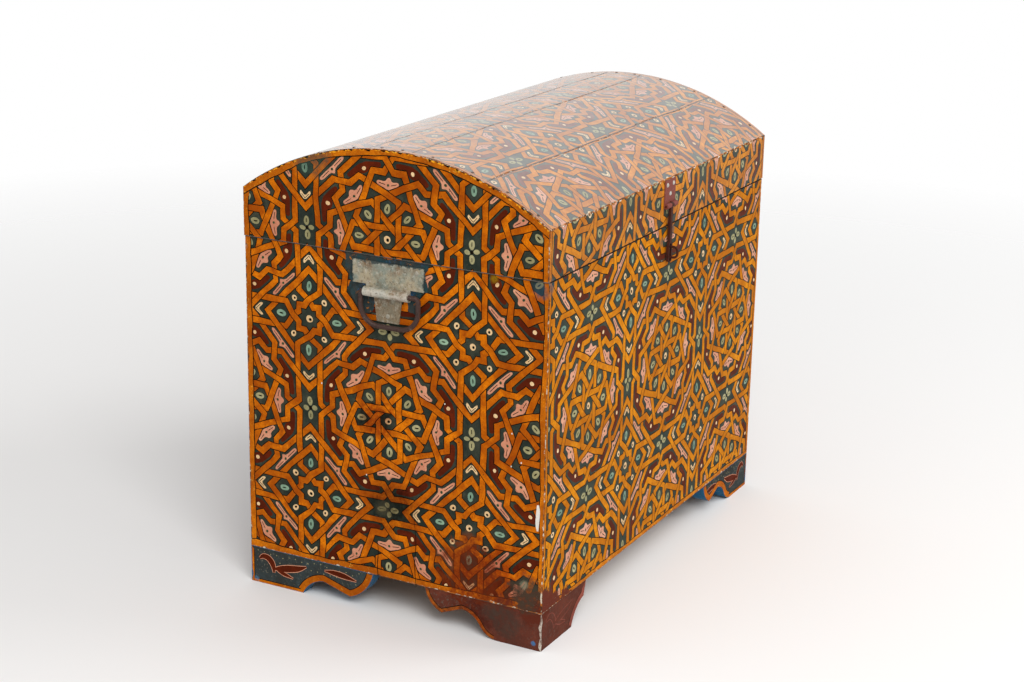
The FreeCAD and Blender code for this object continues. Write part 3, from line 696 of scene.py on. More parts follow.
end_paints = palette("end", 0.0, END_MARKS, END_TINTS_WITH_PAINTED_SHADE)
front_paints = palette("front", 0.0, FRONT_MARKS, {})
rail_paints = palette("rail", 0.32, FRONT_MARKS, {})
lid_paints = palette("lid", 1.0, [], LID_TINTS_PAINTED_REFLECTION)


def timber(name, colour, deep, stretch):
    finish = Finish(name)
    grain = finish.noise(60, 8, 0.6, stretch=stretch)
    fine = finish.noise(320, 4, 0.6, stretch=stretch)
    blend = finish.cover(finish.cover(colour, deep, grain, 0.35, 0.65), deep, fine, 0.55, 0.7, 0.5)
    return finish.done(blend, finish.ramp(grain, 0.3, 0.7, 0.6, 0.8), fine, 0.3, 0.0005)


SKIN = 1.6
SKIN_FADE = 0.1
CORNER_WEAR = 3.5


def worn_board_parting_shade_highlight(name, stretch):
    """Bare timber inside the chest, rubbed paint with pale chips on its outer edges, and at the parting line
    a painted shade along the front and back and a painted highlight on the ends.
    """
    finish = Finish(name)
    grain = finish.noise(60, 8, 0.6, stretch=stretch)
    bare = finish.cover((162, 116, 72), (116, 78, 46), grain, 0.35, 0.65)
    bare = finish.cover(bare, (92, 64, 40), (9, 6, 0.6, (0.7, 0.2, 0.4)), 0.46, 0.66, 0.55)
    rubbed = finish.cover((190, 104, 14), (84, 56, 36), (150, 5, 0.6), 0.42, 0.58)
    rubbed = finish.cover(rubbed, (206, 194, 172), (210, 4, 0.6, (0.2, 0.5, 0.1)), 0.54, 0.60)
    x, y, z = finish.axes()
    beside, before = finish.size(x), finish.size(y)
    # At the parting line the edges are painted dark on the front and back, a painted shade in the gap, and
    # pale grey on the ends, a painted highlight.
    parting_shade_highlight = finish.mix(finish.beyond(beside, (HALF_LENGTH - SKIN) * MM), (44, 36, 30), (118, 112, 106))
    rubbed = finish.cover(rubbed, parting_shade_highlight, finish.size(finish.minus(z, PARTING * MM)), 3 * MM, 2 * MM)
    rise = finish.minus(z, DOME_AXIS * MM)
    radius = finish.calc("SQRT", finish.plus(finish.times(y, y), finish.times(rise, rise)))
    reaches = ((beside, HALF_LENGTH), (before, HALF_DEPTH), (radius, DOME_RADIUS))
    across, along, over = (finish.ramp(reach, (limit - SKIN) * MM, (limit - SKIN + SKIN_FADE) * MM)
                           for reach, limit in reaches)
    over = finish.times(over, finish.beyond(z, EAVE * MM))
    outside = finish.calc("MAXIMUM", finish.calc("MAXIMUM", across, along), over)
    fine = finish.noise(320, 4, 0.6, stretch=stretch)
    rough = finish.ramp(grain, 0.3, 0.7, 0.55, 0.78)
    return finish.done(finish.mix(outside, bare, rubbed), rough, fine, 0.3, 0.0005)


def metal(name, colour, rust, pale, metallic, rough, rust_from, pale_from):
    finish = Finish(name)
    spread = finish.noise(85, 8, 0.7)
    speck = finish.noise(520, 5, 0.6)
    rusty = finish.ramp(spread, rust_from, rust_from + 0.12)
    blend = finish.mix(rusty, colour, rust)
    blend = finish.cover(blend, pale, (160, 6, 0.65, (0.3, 0.1, 0.7)), pale_from, pale_from + 0.1)
    blend = finish.cover(blend, rust, speck, 0.55, 0.7, 0.6)
    dull = finish.ramp(speck, 0.3, 0.7, rough, min(1, rough + 0.25))
    others = {"Metallic": finish.ramp(rusty, 0, 1, metallic, metallic * 0.3)}
    return finish.done(blend, dull, finish.plus(spread, speck), 0.4, 0.0005, others)


def worn_tin(name, plate, bright):
    """Old tinned sheet of a handle plate: stained, with a painted highlight along the barrel at the height
    bright, overpainted at its rim.
    """
    low, high = plate
    finish = Finish(name)
    speck = finish.noise(430, 5, 0.65)
    stain = finish.noise(42, 8, 0.66, (0.4, 0.2, 0.9))
    patch = finish.ramp(finish.noise(56, 7, 0.66), 0.42, 0.58)
    rusty = finish.ramp(stain, 0.50, 0.62, 0, 0.9)
    blend = finish.mix(rusty, finish.mix(patch, (142, 148, 134), (178, 164, 136)), (126, 98, 68))
    x, y, z = finish.axes()
    # A painted highlight: a pale band along the rolled barrel, at the height bright.
    away = finish.plus(finish.size(finish.minus(z, bright * MM)), finish.waver(6))
    blend = finish.cover(blend, (218, 212, 200), away, 6.5 * MM, 1.5 * MM, 0.6)
    tail = finish.plus(z, finish.waver(5))
    blend = finish.cover(blend, (122, 96, 64), tail, (bright - 6) * MM, (bright - 12) * MM, 0.6)
    blend = finish.cover(blend, (204, 198, 182), (190, 7, 0.72, (0.3, 0.1, 0.7)), 0.53, 0.63, 0.6)
    blend = finish.cover(blend, (92, 74, 54), speck, 0.54, 0.66, 0.7)
    edge = finish.minus(high[2] * MM, z)
    for gap in (finish.minus(y, low[1] * MM), finish.minus(high[1] * MM, y)):
        edge = finish.calc("MINIMUM", edge, gap)
    paint = finish.mix(patch, (52, 64, 64), (36, 80, 84))
    blend = finish.cover(blend, paint, finish.plus(edge, finish.waver(4)), 1.8 * MM, 0.6 * MM, 0.9)
    rough = finish.ramp(speck, 0.3, 0.7, 0.5, 0.75)
    others = {"Metallic": finish.ramp(rusty, 0, 1, 0.15, 0.05)}
    return finish.done(blend, rough, finish.plus(stain, speck), 0.5, 0.0006, others)


def worn_corner(name, colour, deep):
    """Dark paint of a foot, rubbed pale along its corner."""
    finish = Finish(name)
    blend, height = laid_paint(finish, (colour, deep, (70, 66, 62), 0.56), 0)
    x, y, z = finish.axes()
    beside = finish.beyond(finish.size(x), (HALF_LENGTH - CORNER_WEAR) * MM)
    before = finish.beyond(finish.size(y), (HALF_DEPTH - CORNER_WEAR) * MM)
    pale = finish.cover((120, 92, 78), (196, 184, 170), (160, 5, 0.65), 0.42, 0.56)
    blend = finish.mix(finish.times(beside, before), blend, pale)
    return finish.done(blend, 0.6, height, 0.3, 0.0005)


def retouched(name):
    """Patchy slate and teal overpaint, with a little blue and the ochre under it showing."""
    finish = Finish(name)
    blend = finish.cover((58, 62, 60), (38, 66, 70), (60, 7, 0.7), 0.44, 0.58)
    blend = finish.cover(blend, (48, 84, 124), (48, 7, 0.72, (0.2, 0.7, 0.4)), 0.58, 0.66, 0.8)
    dark = finish.ramp(finish.noise(90, 7, 0.72, (0.9, 0.1, 0.3)), 0.48, 0.60, 0, 0.85)
    blend = finish.mix(dark, blend, (44, 46, 44))
    blend = finish.cover(blend, (190, 108, 16), (150, 5, 0.65, (0.6, 0.3, 0.8)), 0.62, 0.66)
    return finish.done(blend, 0.6, dark, 0.3, 0.0004, {"Specular IOR Level": 0.1})


GRAIN_X = (0.3, 9, 9)
GRAIN_Y = (9, 0.3, 9)
bail_top = box_mm("left_handle_bail")[1][2]
along_x = worn_board_parting_shade_highlight("worn_board_x", GRAIN_X)
along_y = worn_board_parting_shade_highlight("worn_board_y", GRAIN_Y)
bare_wood = timber("bare_wood", (168, 128, 84), (120, 84, 52), GRAIN_X)
iron = metal("dark_iron", (104, 82, 76), (72, 52, 44), (160, 146, 138), 0.6, 0.3, 0.5, 0.6)
tin = worn_tin("worn_tin", box_mm("left_handle_plate"), bail_top - 3)
hinge_tin = metal("hinge_tin", (168, 162, 146), (124, 98, 72), (214, 208, 196), 0.2, 0.5, 0.5, 0.58)
red_iron = metal("red_iron", (140, 76, 66), (112, 58, 48), (172, 146, 136), 0.2, 0.5, 0.55, 0.62)
rust_iron = metal("rust_iron", (84, 42, 32), (62, 34, 26), (126, 88, 74), 0.35, 0.45, 0.5, 0.64)
bright_nails = metal("bright_nails", (206, 200, 190), (150, 128, 108), (232, 228, 222), 0.3, 0.4, 0.6, 0.6)
worn_foot = worn_corner("worn_foot", *TINTS["maroon"][:2])
end_paints["retouch"] = retouched("retouch")


# Painted sheets

LIFT = 0.25
TOP_LIFT = LIFT + 0.12
MIDDLE = Vector((0, 0, PARTING * MM / 2))


def added(name, data):
    piece = bpy.data.objects.new(name, data)
    scene.collection.objects.link(piece)
    return piece


def sheet(name, body, faces, spot, paints):
    """A mesh of painted faces; spot turns a flat point into a point of the chest in mm."""
    index_of = {}
    vertices = []
    loops = []
    tints = []
    for tint, polygon in faces:
        loop = []
        for x, y in polygon:
            key = (round(x, 3), round(y, 3))
            if key not in index_of:
                index_of[key] = len(vertices)
                vertices.append([value * MM for value in spot(x, y)])
            if index_of[key] not in loop:
                loop.append(index_of[key])
        if len(loop) >= 3:
            loops.append(loop)
            tints.append(tint)
    mesh = bpy.data.meshes.new(name)
    mesh.from_pydata(vertices, [], loops)
    used = sorted(set(tints))
    for tint in used:
        mesh.materials.append(paints[tint])
    for face, tint in zip(mesh.polygons, tints):
        face.material_index = used.index(tint)
    mesh.validate()
    mesh.update()
    for face in mesh.polygons:
        if face.normal.dot(face.center - MIDDLE) < 0:
            face.flip()
    piece = added(name, mesh)
    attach(piece, body)


# How a painter's hand wavers: the length of a wave, its reach, both in mm, and a seed.
WAVES = ((75, 2.8, 0), (15, 1.4, 7), (5, 0.35, 13))
STEADY_EDGE = 7.0


def unsteady(x, y, seed, region):
    """A flat point moved as a hand would waver, less and less towards the region's edge."""
    room = min(((end[0] - start[0]) * (y - start[1]) - (end[1] - start[1]) * (x - start[0]))
               / math.dist(start, end) for start, end in sides(region))
    hold = min(1, max(0, room / STEADY_EDGE))
    moves = [noise.noise_vector(Vector((x / length, y / length, seed + extra))) * reach
             for length, reach, extra in WAVES]
    return x + hold * sum(move[0] for move in moves), y + hold * sum(move[1] for move in moves)


def wall(axis, plane, rim=None, seed=0, shift=0, way=1):
    """A function that puts flat points on a plane across x (axis 0) or y (axis 1), unsteady inside a rim."""
    def place(x, y):
        if rim:
            x, y = unsteady(x, y, seed, rim)
        run = way * (x - shift)
        return (plane, run, y) if axis == 0 else (run, plane, y)

    return place


def tiled(centre, pitch, region):
    """The interlace over a convex region, with one rosette at centre; pitch is across and along."""
    spans = []
    for axis in (0, 1):
        places = [(corner[axis] - centre[axis]) / pitch[axis] for corner in region]
        spans.append(range(math.floor(min(places)), math.ceil(max(places)) + 1))
    faces = []
    for column in spans[0]:
        for row in spans[1]:
            for tint, polygon in cell_faces:
                moved = [(centre[0] + (x + column) * pitch[0], centre[1] + (y + row) * pitch[1])
                         for x, y in polygon]
                inside = clip_convex(moved, region)
                if sizable(inside):
                    faces.append((tint, inside))
    return faces


EDGE = 0.6
SEAM_EDGE = 0.45
INK = 1.1
CHIP = 2.4
CHIP_STEP = 6.0


def chip(run, seed):
    """How far the paint has chipped back from a board's edge at a place along it, in mm."""
    rough = noise.noise(Vector((run / 11, seed, 0))) + 0.6 * noise.noise(Vector((run / 3.5, seed, 5)))
    return max(0, rough) * CHIP


def framed(left, low, right, high, strips):
    """Ochre strips along the sides of a rectangle, and the rectangle that is left inside them."""
    inner = [left, low, right, high]
    faces = []
    for side, width in strips.items():
        index = ("left", "low", "right", "high").index(side)
        upright = index % 2 == 0
        sign = 1 if index < 2 else -1
        rim = inner[index]
        inked = rim + sign * width
        clear = inked + sign * INK
        first, last = (inner[1], inner[3]) if upright else (inner[0], inner[2])
        for start, end in steps(first, last, max(1, round((last - first) / CHIP_STEP))):
            rims = [rim + sign * chip(run, rim) for run in (start, end)]
            for tint, near, far in (("rim", rims, inked), ("line", [inked, inked], clear)):
                corners = [(start, near[0]), (end, near[1]), (end, far), (start, far)]
                if upright:
                    corners = [corner[::-1] for corner in corners]
                faces.append((tint, leftward(corners)))
        inner[index] = clear
    return faces, rectangle(*inner)


def panel(left, low, right, high, strips, lattice):
    """Interlace inside ochre strips over a rectangle."""
    faces, inner = framed(left, low, right, high, strips)
    return faces + tiled(*lattice, inner)


# Each lattice: the place of one rosette, and the pitch across and along.
END_LATTICE = ((188.0, CASE_LOW + 180), (201, 201))
FRONT_LATTICE = ((-HALF_LENGTH + 99, CASE_LOW + 204), (198, 203))
LID_LATTICE = ((-HALF_LENGTH + 87.5, EAVE - 1), (198, 199))
FRONT_SEED = 11
BACK_SEED = 17
ARCH_SEED = 2
ARCH_BAND = 6.5
ARCH_EDGE = 0.4
INKED_RADIUS = DOME_RADIUS - ARCH_BAND - INK


def arch(radius, chipped=0, count=60):
    """Points of the dome's circle on an end of the lid, from the front eave to the rear one."""
    reach = math.asin(min(1, (HALF_DEPTH - EDGE) / radius))
    points = []
    for step in range(count + 1):
        angle = reach * (2 * step / count - 1)
        y, z = dome_point(radius - chipped * chip(angle * radius, ARCH_SEED), angle)
        points.append((HALF_DEPTH + y, z))
    return points


def gable_faces():
    """The end of the lid: interlace under an ochre arch."""
    outer, ring, ink = arch(DOME_RADIUS - ARCH_EDGE, 1), arch(DOME_RADIUS - ARCH_BAND), arch(INKED_RADIUS)
    faces = []
    for lower, upper, tint in ((ring, outer, "rim"), (ink, ring, "line")):
        for step in range(len(lower) - 1):
            faces.append((tint, [lower[step], lower[step + 1], upper[step + 1], upper[step]]))
    low, eave = LID_LOW + SEAM_EDGE, ink[0][1]
    strips, inner = framed(EDGE, low, DEPTH - EDGE, eave, {"left": 5, "right": 6})

    def under_arch(start, end, level):
        """What lies between two uprights, a level and the arch's inked edge."""
        heights = [DOME_AXIS + math.sqrt(INKED_RADIUS ** 2 - (run - HALF_DEPTH) ** 2) for run in (start, end)]
        roof = [point for point in reversed(ink) if start < point[0] < end]
        roof = [(end, heights[1]), *roof, (start, heights[0])]
        return [(start, level), (end, level)] + [point for point in roof if point[1] > level + 0.01]

    left, right = inner[0][0], inner[1][0]
    faces += strips
    faces.append(("rim", under_arch(EDGE, left, eave)))
    faces.append(("rim", under_arch(right, DEPTH - EDGE, eave)))
    return faces + tiled(*END_LATTICE, under_arch(left, right, low))


end_faces = panel(EDGE, CASE_LOW + EDGE, DEPTH - EDGE, PARTING - SEAM_EDGE,
                  {"low": 7, "left": 5, "right": 6}, END_LATTICE)
end_rim = rectangle(0, CASE_LOW, DEPTH, PARTING)
gable_rim = [(0, LID_LOW), (DEPTH, LID_LOW)] + arch(DOME_RADIUS)[::-1]
gable_painted = gable_faces()
for side, sign in (("left", -1), ("right", 1)):
    on_end = wall(0, sign * (HALF_LENGTH + LIFT), end_rim, 3 + sign, HALF_DEPTH)
    on_gable = wall(0, sign * (LID_HALF + LIFT), gable_rim, 3 + sign, HALF_DEPTH)
    sheet("paint_%s_end" % side, "case", end_faces, on_end, end_paints)
    sheet("paint_%s_gable" % side, "lid", gable_painted, on_gable, end_paints)

RAIL_EDGE = 1.0
for name, body, low, high, half, (below, above), strips, lattice, paints in (
    ("paint_front", "case", CASE_LOW, PARTING, HALF_LENGTH, (EDGE, SEAM_EDGE),
     {"low": 5, "left": 4, "right": 5}, FRONT_LATTICE, front_paints),
    ("paint_lid_front", "lid", LID_LOW, EAVE, LID_HALF, (SEAM_EDGE, RAIL_EDGE),
     {"left": 4, "right": 5}, LID_LATTICE, rail_paints),
):
    faces = panel(-half + EDGE, low + below, half - EDGE, high - above, strips, lattice)
    on_front = wall(1, -HALF_DEPTH - LIFT, rectangle(-half, low, half, high), FRONT_SEED)
    sheet(name, body, faces, on_front, paints)

# Chips along the lid's front eave and along the arch of its left end; those along the arch are mostly gilt, a
# painted highlight on the worn edge of the arch.
CHIPS_FROM = 0.5
EAVE_CHIPS = 34
ARCH_CHIPS = 104
CHIP_HALF, HALF_SHAKE = 2.6, 3.4
CHIP_DEEP, DEEP_SHAKE = 1.5, 1.6


def chip_row(length, count, tints, at):
    """Chips along an edge; at turns a run along the edge and a depth under it into a flat point."""
    row = []
    for order in range(count):
        shake = [noise.noise(Vector((order * 1.9, kind * 3.7, 0.5))) for kind in range(3)]
        run = length * (order + 0.5 + 0.8 * shake[0]) / count
        half, deep = CHIP_HALF + HALF_SHAKE * shake[1], CHIP_DEEP + DEEP_SHAKE * shake[2]
        corners = ((run - half, 0), (run - half * 0.5, deep), (run + half * 0.3, deep * 0.8), (run + half, 0))
        row.append((tints[order % len(tints)], [at(*corner) for corner in corners]))
    return row


def under_eave(run, deep):
    return run - LID_HALF, EAVE - CHIPS_FROM - deep


def inside_arch(run, deep):
    return dome_point(DOME_RADIUS - CHIPS_FROM - deep, run / DOME_RADIUS - DOME_HALF_ANGLE)


sheet("chips_lid_front", "lid",
      chip_row(2 * LID_HALF, EAVE_CHIPS, ("rim", "white", "rim", "cream"), under_eave),
      wall(1, -HALF_DEPTH - TOP_LIFT), rail_paints)
# Along the arch the chips are mostly gilt: a painted highlight on its worn edge.
sheet("chips_left_gable", "lid",
      chip_row(DOME_ARC, ARCH_CHIPS, ("gilt", "gilt", "rim", "gilt", "line"), inside_arch),
      wall(0, -LID_HALF - TOP_LIFT), end_paints)

# The back is plain: one colour inside an ochre frame.
BACK_STRIP = 8.0
BACK_PARTS = 24
for name, body, low, high, half in (("paint_back", "case", CASE_LOW, PARTING, HALF_LENGTH),
                                    ("paint_lid_back", "lid", LID_LOW, EAVE, LID_HALF)):
    faces, inner = framed(-half + EDGE, low + EDGE, half - EDGE, high - EDGE,
                          {"left": BACK_STRIP, "right": BACK_STRIP})
    for left, right in steps(inner[0][0], inner[1][0], BACK_PARTS):
        faces.append(("maroon", rectangle(left, inner[0][1], right, inner[2][1])))
    on_back = wall(1, HALF_DEPTH + LIFT, rectangle(-half, low, half, high), BACK_SEED, way=-1)
    sheet(name, body, faces, on_back, end_paints)

# Along the dome the height continues as arc length, so the lattice runs on from the rail.
STAVES = 5
STAVE_GAP = 0.12
STAVE_STRIP = 3.5
BAND = 12.0
SEAM = 0.7
dome_rim = rectangle(-LID_HALF, EAVE, LID_HALF, EAVE + DOME_ARC)


def on_dome(x, y):
    u, v = unsteady(x, y, FRONT_SEED, dome_rim)
    return u, *dome_point(DOME_RADIUS + LIFT, (v - EAVE) / DOME_RADIUS - DOME_HALF_ANGLE)


joints = [EAVE + EDGE]
for stave in range(1, STAVES):
    rear = box_mm("lid_stave_%d" % stave)[1][1]
    joints.append(EAVE + (math.asin(rear / DOME_RADIUS) + DOME_HALF_ANGLE) * DOME_RADIUS)
joints.append(EAVE + DOME_ARC - EDGE)
for stave in range(STAVES):
    start, end = joints[stave] + STAVE_GAP, joints[stave + 1] - STAVE_GAP
    whole, inner = framed(-LID_HALF + EDGE, start, LID_HALF - EDGE, end,
                          {"left": STAVE_STRIP, "right": STAVE_STRIP})
    low_seam = start + (SEAM if stave > 0 else 0)
    high_seam = end - (SEAM if stave < STAVES - 1 else 0)
    left, right = inner[0][0], inner[1][0]
    whole += tiled(*LID_LATTICE, rectangle(left, low_seam, right, high_seam))
    for low, high in ((start, low_seam), (high_seam, end)):
        if high > low:
            whole.append(("line", rectangle(left, low, right, high)))
    faces = []
    for low, high in steps(start, end, max(1, round((end - start) / BAND))):
        for tint, polygon in whole:
            inside = clip_half(clip_half(polygon, 0, 1, high), 0, -1, -low)
            if sizable(inside):
                faces.append((tint, inside))
    sheet("paint_stave_%d" % (stave + 1), "lid", faces, on_dome, lid_paints)


# Feet

def outer_face(name, axis, sign):
    """A bracket's outer face: its outline as (run, height), counter-clockwise, and its plane, in mm."""
    mesh = nodes[name].data
    places = [vertex.co for vertex in mesh.vertices]
    limit = max(sign * place[axis] for place in places)
    uses = {}
    for face in mesh.polygons:
        if all(abs(sign * places[corner][axis] - limit) < 2e-5 for corner in face.vertices):
            for edge in face.edge_keys:
                uses[edge] = uses.get(edge, 0) + 1
    after = {}
    for (a, b), count in uses.items():
        if count == 1:
            after.setdefault(a, []).append(b)
            after.setdefault(b, []).append(a)
    loop = [min(after)]
    while True:
        options = [item for item in after[loop[-1]] if item not in loop[-2:-1]]
        if not options or options[0] == loop[0]:
            break
        loop.append(options[0])
    outline = [(places[item][1 - axis] / MM, places[item][2] / MM) for item in loop]
    return leftward(outline), sign * limit / MM


def inset(outline, margin):
    """The outline moved inwards by margin, corner by corner."""
    moved = []
    for before, here, after in bends(outline):
        way = mitre(unit_normal(before, here), unit_normal(here, after), 0.4)
        moved.append(pushed(here, way, margin))
    return moved


def leaf_shape(line, wider=0):
    """A leaf along a line of (x, y, half width), its edge moved out by wider."""
    left, right = [], []
    for before, here, after in zip(line[:1] + line, line, line[1:] + line[-1:]):
        normal = unit_normal(before, after)
        left.append(pushed(here, normal, here[2] + wider))
        right.append(pushed(here, normal, -here[2] - wider))
    return left + right[::-1]


def eased(points):
    """An open line of points with two more between each pair, on a smooth curve through them."""
    points = [Vector(point) for point in points]
    line = points[:1]
    for before, start, end, after in zip(line + points, points, points[1:], points[2:] + points[-1:]):
        handles = start + (end - before) / 6, end - (after - start) / 6
        line += geometry.interpolate_bezier(start, *handles, end, 4)[1:]
    return line


# Leaves of a foot, point by point: run from the corner, depth under the case, half width, in mm.
LEAVES = [
    [(11, 13, 0.8), (16, 9.6, 2.6), (23.5, 11, 3.4), (29, 18, 3.2), (30, 27, 0.8)],
    [(31, 22, 1.2), (39, 20.2, 3.2), (51, 17.6, 4), (63, 15, 3.2), (74, 10.5, 0.5)],
    [(35, 23, 1), (43, 25.2, 2.2), (50, 27, 1.4), (56, 28.5, 0.4)],
    [(98, 9.6, 0.5), (110, 9.4, 2.6), (124, 10.6, 3), (140, 13.2, 0.5)],
]
LEAF_EDGE = 0.7
DOTS = 34
DOT_FROM, DOT_STEP = 9, 4.2
DOT_DROP, DOT_ROW, DOT_SHAKE = 5, 9, 5
CORNER_STEP, CORNER_CHIP, CORNER_BACK = 4.0, 1.8, 0.6
FOOT_EDGE = 0.4
FOOT_INK = 0.9
CURVED_BAND = 7.0
THIN_BAND = 3.8
FLAT_BAND = 3.2
NEARLY = 1.0


def chipped_corner(outline, corner, inward):
    """The outline with its upright at the corner broken up and chipped back."""
    rough = []
    for here, after in sides(outline):
        rough.append(here)
        if max(abs(here[0] - corner), abs(after[0] - corner)) < NEARLY:
            count = max(1, round(abs(after[1] - here[1]) / CORNER_STEP))
            for level, above in steps(here[1], after[1], count)[1:]:
                back = CORNER_CHIP * chip(level, corner) + CORNER_BACK
                rough.append((here[0] + inward * back, level))
    return rough


def foot_sheet(name, axis, sign, ground, band, leaf_tint, edge_tint, leaves, dots, bands):
    """The paint of a bracket: leaves and dots on a ground, and a band along its flat and curved edges."""
    face, plane = outer_face(name, axis, sign)
    outline = inset(face, FOOT_EDGE)
    runs, levels = zip(*outline)
    top, low = max(levels), min(levels)
    corner = max(runs, key=abs)
    inward = -1 if corner > 0 else 1
    whole = chipped_corner(outline, corner, inward)
    layers = [(ground, 0, whole)]
    for index, (start, end) in enumerate(sides(outline)):
        at_corner = max(abs(start[0] - corner), abs(end[0] - corner)) < NEARLY
        width = bands[0] if at_corner or max(start[1], end[1]) < low + NEARLY else bands[1]
        if width == 0 or min(start[1], end[1]) > top - NEARLY:
            continue
        for tint, layer, reach in (("line", 3, width + FOOT_INK), (band, 4, width)):
            inner = inset(outline, reach)
            layers.append((tint, layer, [start, end, inner[(index + 1) % len(inner)], inner[index]]))
    for leaf in leaves:
        placed = [(corner + inward * run, top - drop, half) for run, drop, half in eased(leaf)]
        layers.append((edge_tint, 1, leaf_shape(placed, LEAF_EDGE)))
        layers.append((leaf_tint, 2, leaf_shape(placed)))
    for dot in range(dots):
        run = DOT_FROM + DOT_STEP * dot
        drop = DOT_DROP + DOT_ROW * (dot % 2) + DOT_SHAKE * noise.noise(Vector((dot * 1.7, corner, 0.5)))
        layers.append(("sage", 1, ellipse((corner + inward * run, top - drop), 0.75, 0.65, 6)))
    on_foot = wall(axis, plane + sign * LIFT)
    sheet("paint_" + name, "case", painted_faces(layers, whole), on_foot, end_paints)


for end_name, y_sign in (("front", -1), ("back", 1)):
    for side, x_sign in (("left", -1), ("right", 1)):
        faces = ends = ("slate", "rim", "russet", "pink", LEAVES, DOTS, (FLAT_BAND, CURVED_BAND))
        if (end_name, side) == ("front", "left"):
            faces = ("maroon", "rose", "maroon", "rose", LEAVES, 0, (0, CURVED_BAND))
            ends = ("maroon", "dulled", "maroon", "rose", [], 0, (0, THIN_BAND))
        foot_sheet("%s_%s_foot_%s" % (end_name, side, end_name), 1, y_sign, *faces)
        foot_sheet("%s_%s_foot_end" % (end_name, side), 0, x_sign, *ends)


# Retouching round the handle plates, cracks, a scratch and specks.
ROUGH_STEP = 2.0
ROUGH_REACH = 3.0
ROUGH_WAVE = 7.0


def roughened(outline, seed):
    """A closed outline with more points, each moved a little in or out."""
    rough = []
    for start, end in sides(outline):
        count = max(1, round(math.dist(start, end) / ROUGH_STEP))
        for part in range(count):
            x, y = between(start, end, part / count)
            push = noise.noise_vector(Vector((x / ROUGH_WAVE, y / ROUGH_WAVE, seed))) * ROUGH_REACH
            rough.append((x + push[0], min(y + push[1], PARTING - SEAM_EDGE)))
    return rough


for side, sign in (("left", -1), ("right", 1)):
    low, high = box_mm("%s_handle_plate" % side)
    rear, front, top = high[1], low[1], high[2]
    around = [(front - 3, top - 26), (front - 1, top - 12), (front - 6, PARTING), (rear + 10, PARTING),
              (rear + 8, top - 10), (rear + 2, top - 24), (rear + 8, top - 34), (rear - 2, top - 46),
              (rear - 12, top - 58), (rear - 24, top - 56), (rear - 30, top - 34)]
    within = [(front + 20, top - 30), (front + 2, top - 28), (front + 4, top - 42), (front + 10, top - 50),
              (front + 21, top - 47)]
    for order, outline in enumerate((around, within)):
        pieces = convex_pieces(roughened(leftward(outline), 4 + order))
        sheet("retouch_%s_handle_%d" % (side, order + 1), "case",
              [("retouch", piece) for piece in pieces], wall(0, sign * (HALF_LENGTH + TOP_LIFT)), end_paints)

# Marks on the left end, point by point as (y, z, half width) in mm, and specks as (y, z).
MARKS = [
    ("line", [(16, 38, 0.3), (17.4, 54, 0.5), (16.2, 70, 0.4), (17, 84, 0.2)]),
    ("line", [(-32, 40, 0.3), (-30, 66, 0.5), (-31.5, 92, 0.4), (-29, 118, 0.2)]),
    ("white", [(-178.2, 136, 1), (-177.6, 144, 2.1), (-178.4, 157, 2.2), (-178, 165, 1.2)]),
]
SPECKS = [(-145.9, 237.7), (-157.4, 207.7), (-145.8, 201.6), (87.7, 252.7), (-65.8, 255.8), (31, 158)]
on_left_end = wall(0, -HALF_LENGTH - TOP_LIFT)
for order, (tint, line) in enumerate(MARKS):
    pieces = convex_pieces(leftward(leaf_shape(eased(line))))
    sheet("mark_left_end_%d" % (order + 1), "case",
          [(tint, piece) for piece in pieces], on_left_end, end_paints)
sheet("specks_left_end", "case",
      [("white", ellipse(speck, 0.8, 1, 7)) for speck in SPECKS], on_left_end, end_paints)

# The solids keep their shape and take the first finish whose words are all in the node's name.
NODE_FINISHES = [
    ("handle_plate", tin), ("handle_nails", hinge_tin), ("hinge leaf", hinge_tin), ("hasp_plate", red_iron),
    ("hasp_nails", bright_nails), ("hasp", rust_iron), ("bail", iron), ("nails", iron), ("pin", iron),
    ("block", bare_wood), ("front_left foot", worn_foot), ("foot", end_paints["blue"]),
    ("bottom", bare_wood), ("end_panel", along_y), ("gable", along_y), ("", along_x),
]
for name, node in nodes.items():
    finish = next(finish for words, finish in NODE_FINISHES if all(word in name for word in words.split()))
    node.data.materials.clear()
    node.data.materials.append(finish)

# Floor, light and camera.
FLOOR_SIZE = 14.0
FLOOR_FADE = (0.7, 2.2)
bpy.ops.mesh.primitive_plane_add(size=FLOOR_SIZE, location=(0, 0, 0))
floor = bpy.context.object
floor.name = "studio_floor"
floor_finish = Finish("studio_floor")
floor_finish.set({"Base Color": (0.88, 0.87, 0.86), "Roughness": 0.95, "Specular IOR Level": 0})
parts = floor_finish.tree.nodes
away = floor_finish.make("ShaderNodeVectorMath", {0: floor_finish.spot}, operation="LENGTH")
blend = floor_finish.make("ShaderNodeMixShader", {
    0: floor_finish.ramp(away.outputs["Value"], *FLOOR_FADE),
    1: parts["Principled BSDF"].outputs["BSDF"],
    2: floor_finish.make("ShaderNodeBsdfTransparent").outputs["BSDF"],
})
floor_finish.feed(parts["Material Output"].inputs["Surface"], blend.outputs["Shader"])
floor.data.materials.append(floor_finish.owner)
floor.visible_glossy = False
floor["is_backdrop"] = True

# Surroundings: white to the camera, soft to the paint, and for the varnish a bright wall behind.
BEHIND = (0.86, 0.46, 0.22)
SOFT_LIGHT = 0.62
WALL_EDGE = (0.45, 0.88)
WALL_LIGHT = (0.12, 1.08)
studio = Finish("studio", "worlds")
scene.world = studio.owner
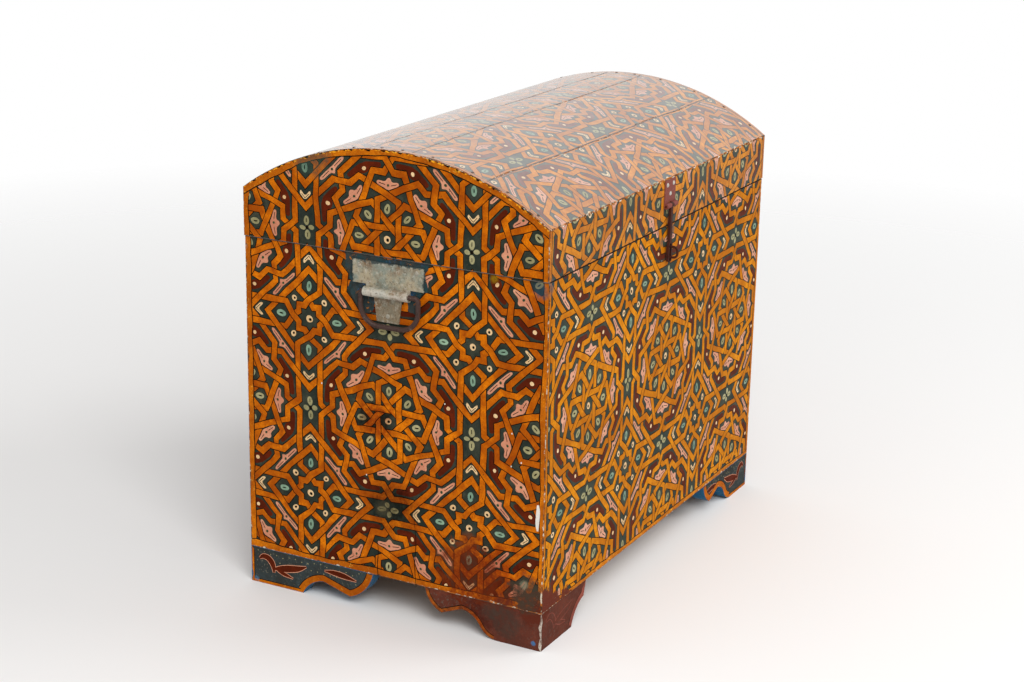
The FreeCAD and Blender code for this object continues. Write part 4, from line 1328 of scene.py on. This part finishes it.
facing = studio.make("ShaderNodeVectorMath", {0: studio.places["Generated"], 1: BEHIND},
                     operation="DOT_PRODUCT")
wall_light = studio.ramp(facing.outputs["Value"], *WALL_EDGE, *WALL_LIGHT)
path = studio.make("ShaderNodeLightPath")
soft = studio.make("ShaderNodeMix", {0: path.outputs["Is Glossy Ray"], 2: SOFT_LIGHT, 3: wall_light})
seen = studio.make("ShaderNodeMix", {0: path.outputs["Is Camera Ray"], 2: soft.outputs[0], 3: 1.0})
background = studio.tree.nodes["Background"]
studio.feed(background.inputs["Color"], (1.0, 1.0, 1.0))
studio.feed(background.inputs["Strength"], seen.outputs[0])

AIM = (0.0, 0.0, 0.25)


def lamp(name, place, size, power, mirrored_only=False):
    data = bpy.data.lights.new(name, "AREA")
    data.size = size
    data.energy = power
    piece = added(name, data)
    piece.location = place
    piece.rotation_mode = "QUATERNION"
    piece.rotation_quaternion = (Vector(AIM) - Vector(place)).to_track_quat("-Z", "Y")
    piece.visible_glossy = mirrored_only
    piece.visible_diffuse = not mirrored_only


lamp("key", (-2.2, -1.9, 2.6), 1.8, 78)
lamp("fill", (1.4, -2.6, 1.8), 1.8, 36)
lamp("sheen", (-2.4, 0.2, 2.2), 1.0, 6, True)

VIEW_FROM = (-2042, -1070, 943)
VIEW_YAW, VIEW_PITCH, VIEW_ROLL = 27.84, 16.98, 1.11
VIEW_FOCAL_PX = 2036.4
VIEW_WIDTH_PX = 1024
SENSOR_WIDTH = 36.0
camera_data = bpy.data.cameras.new("camera")
camera_data.sensor_width = SENSOR_WIDTH
camera_data.lens = VIEW_FOCAL_PX * SENSOR_WIDTH / VIEW_WIDTH_PX
camera = added("camera", camera_data)
turn = Euler((math.radians(90 - VIEW_PITCH), 0, math.radians(VIEW_YAW - 90))).to_matrix()
turn = turn @ Matrix.Rotation(math.radians(VIEW_ROLL), 3, "Z")
camera.matrix_world = Matrix.Translation([value * MM for value in VIEW_FROM]) @ turn.to_4x4()
scene.camera = camera
scene.view_settings.view_transform = "Standard"

low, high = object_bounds()
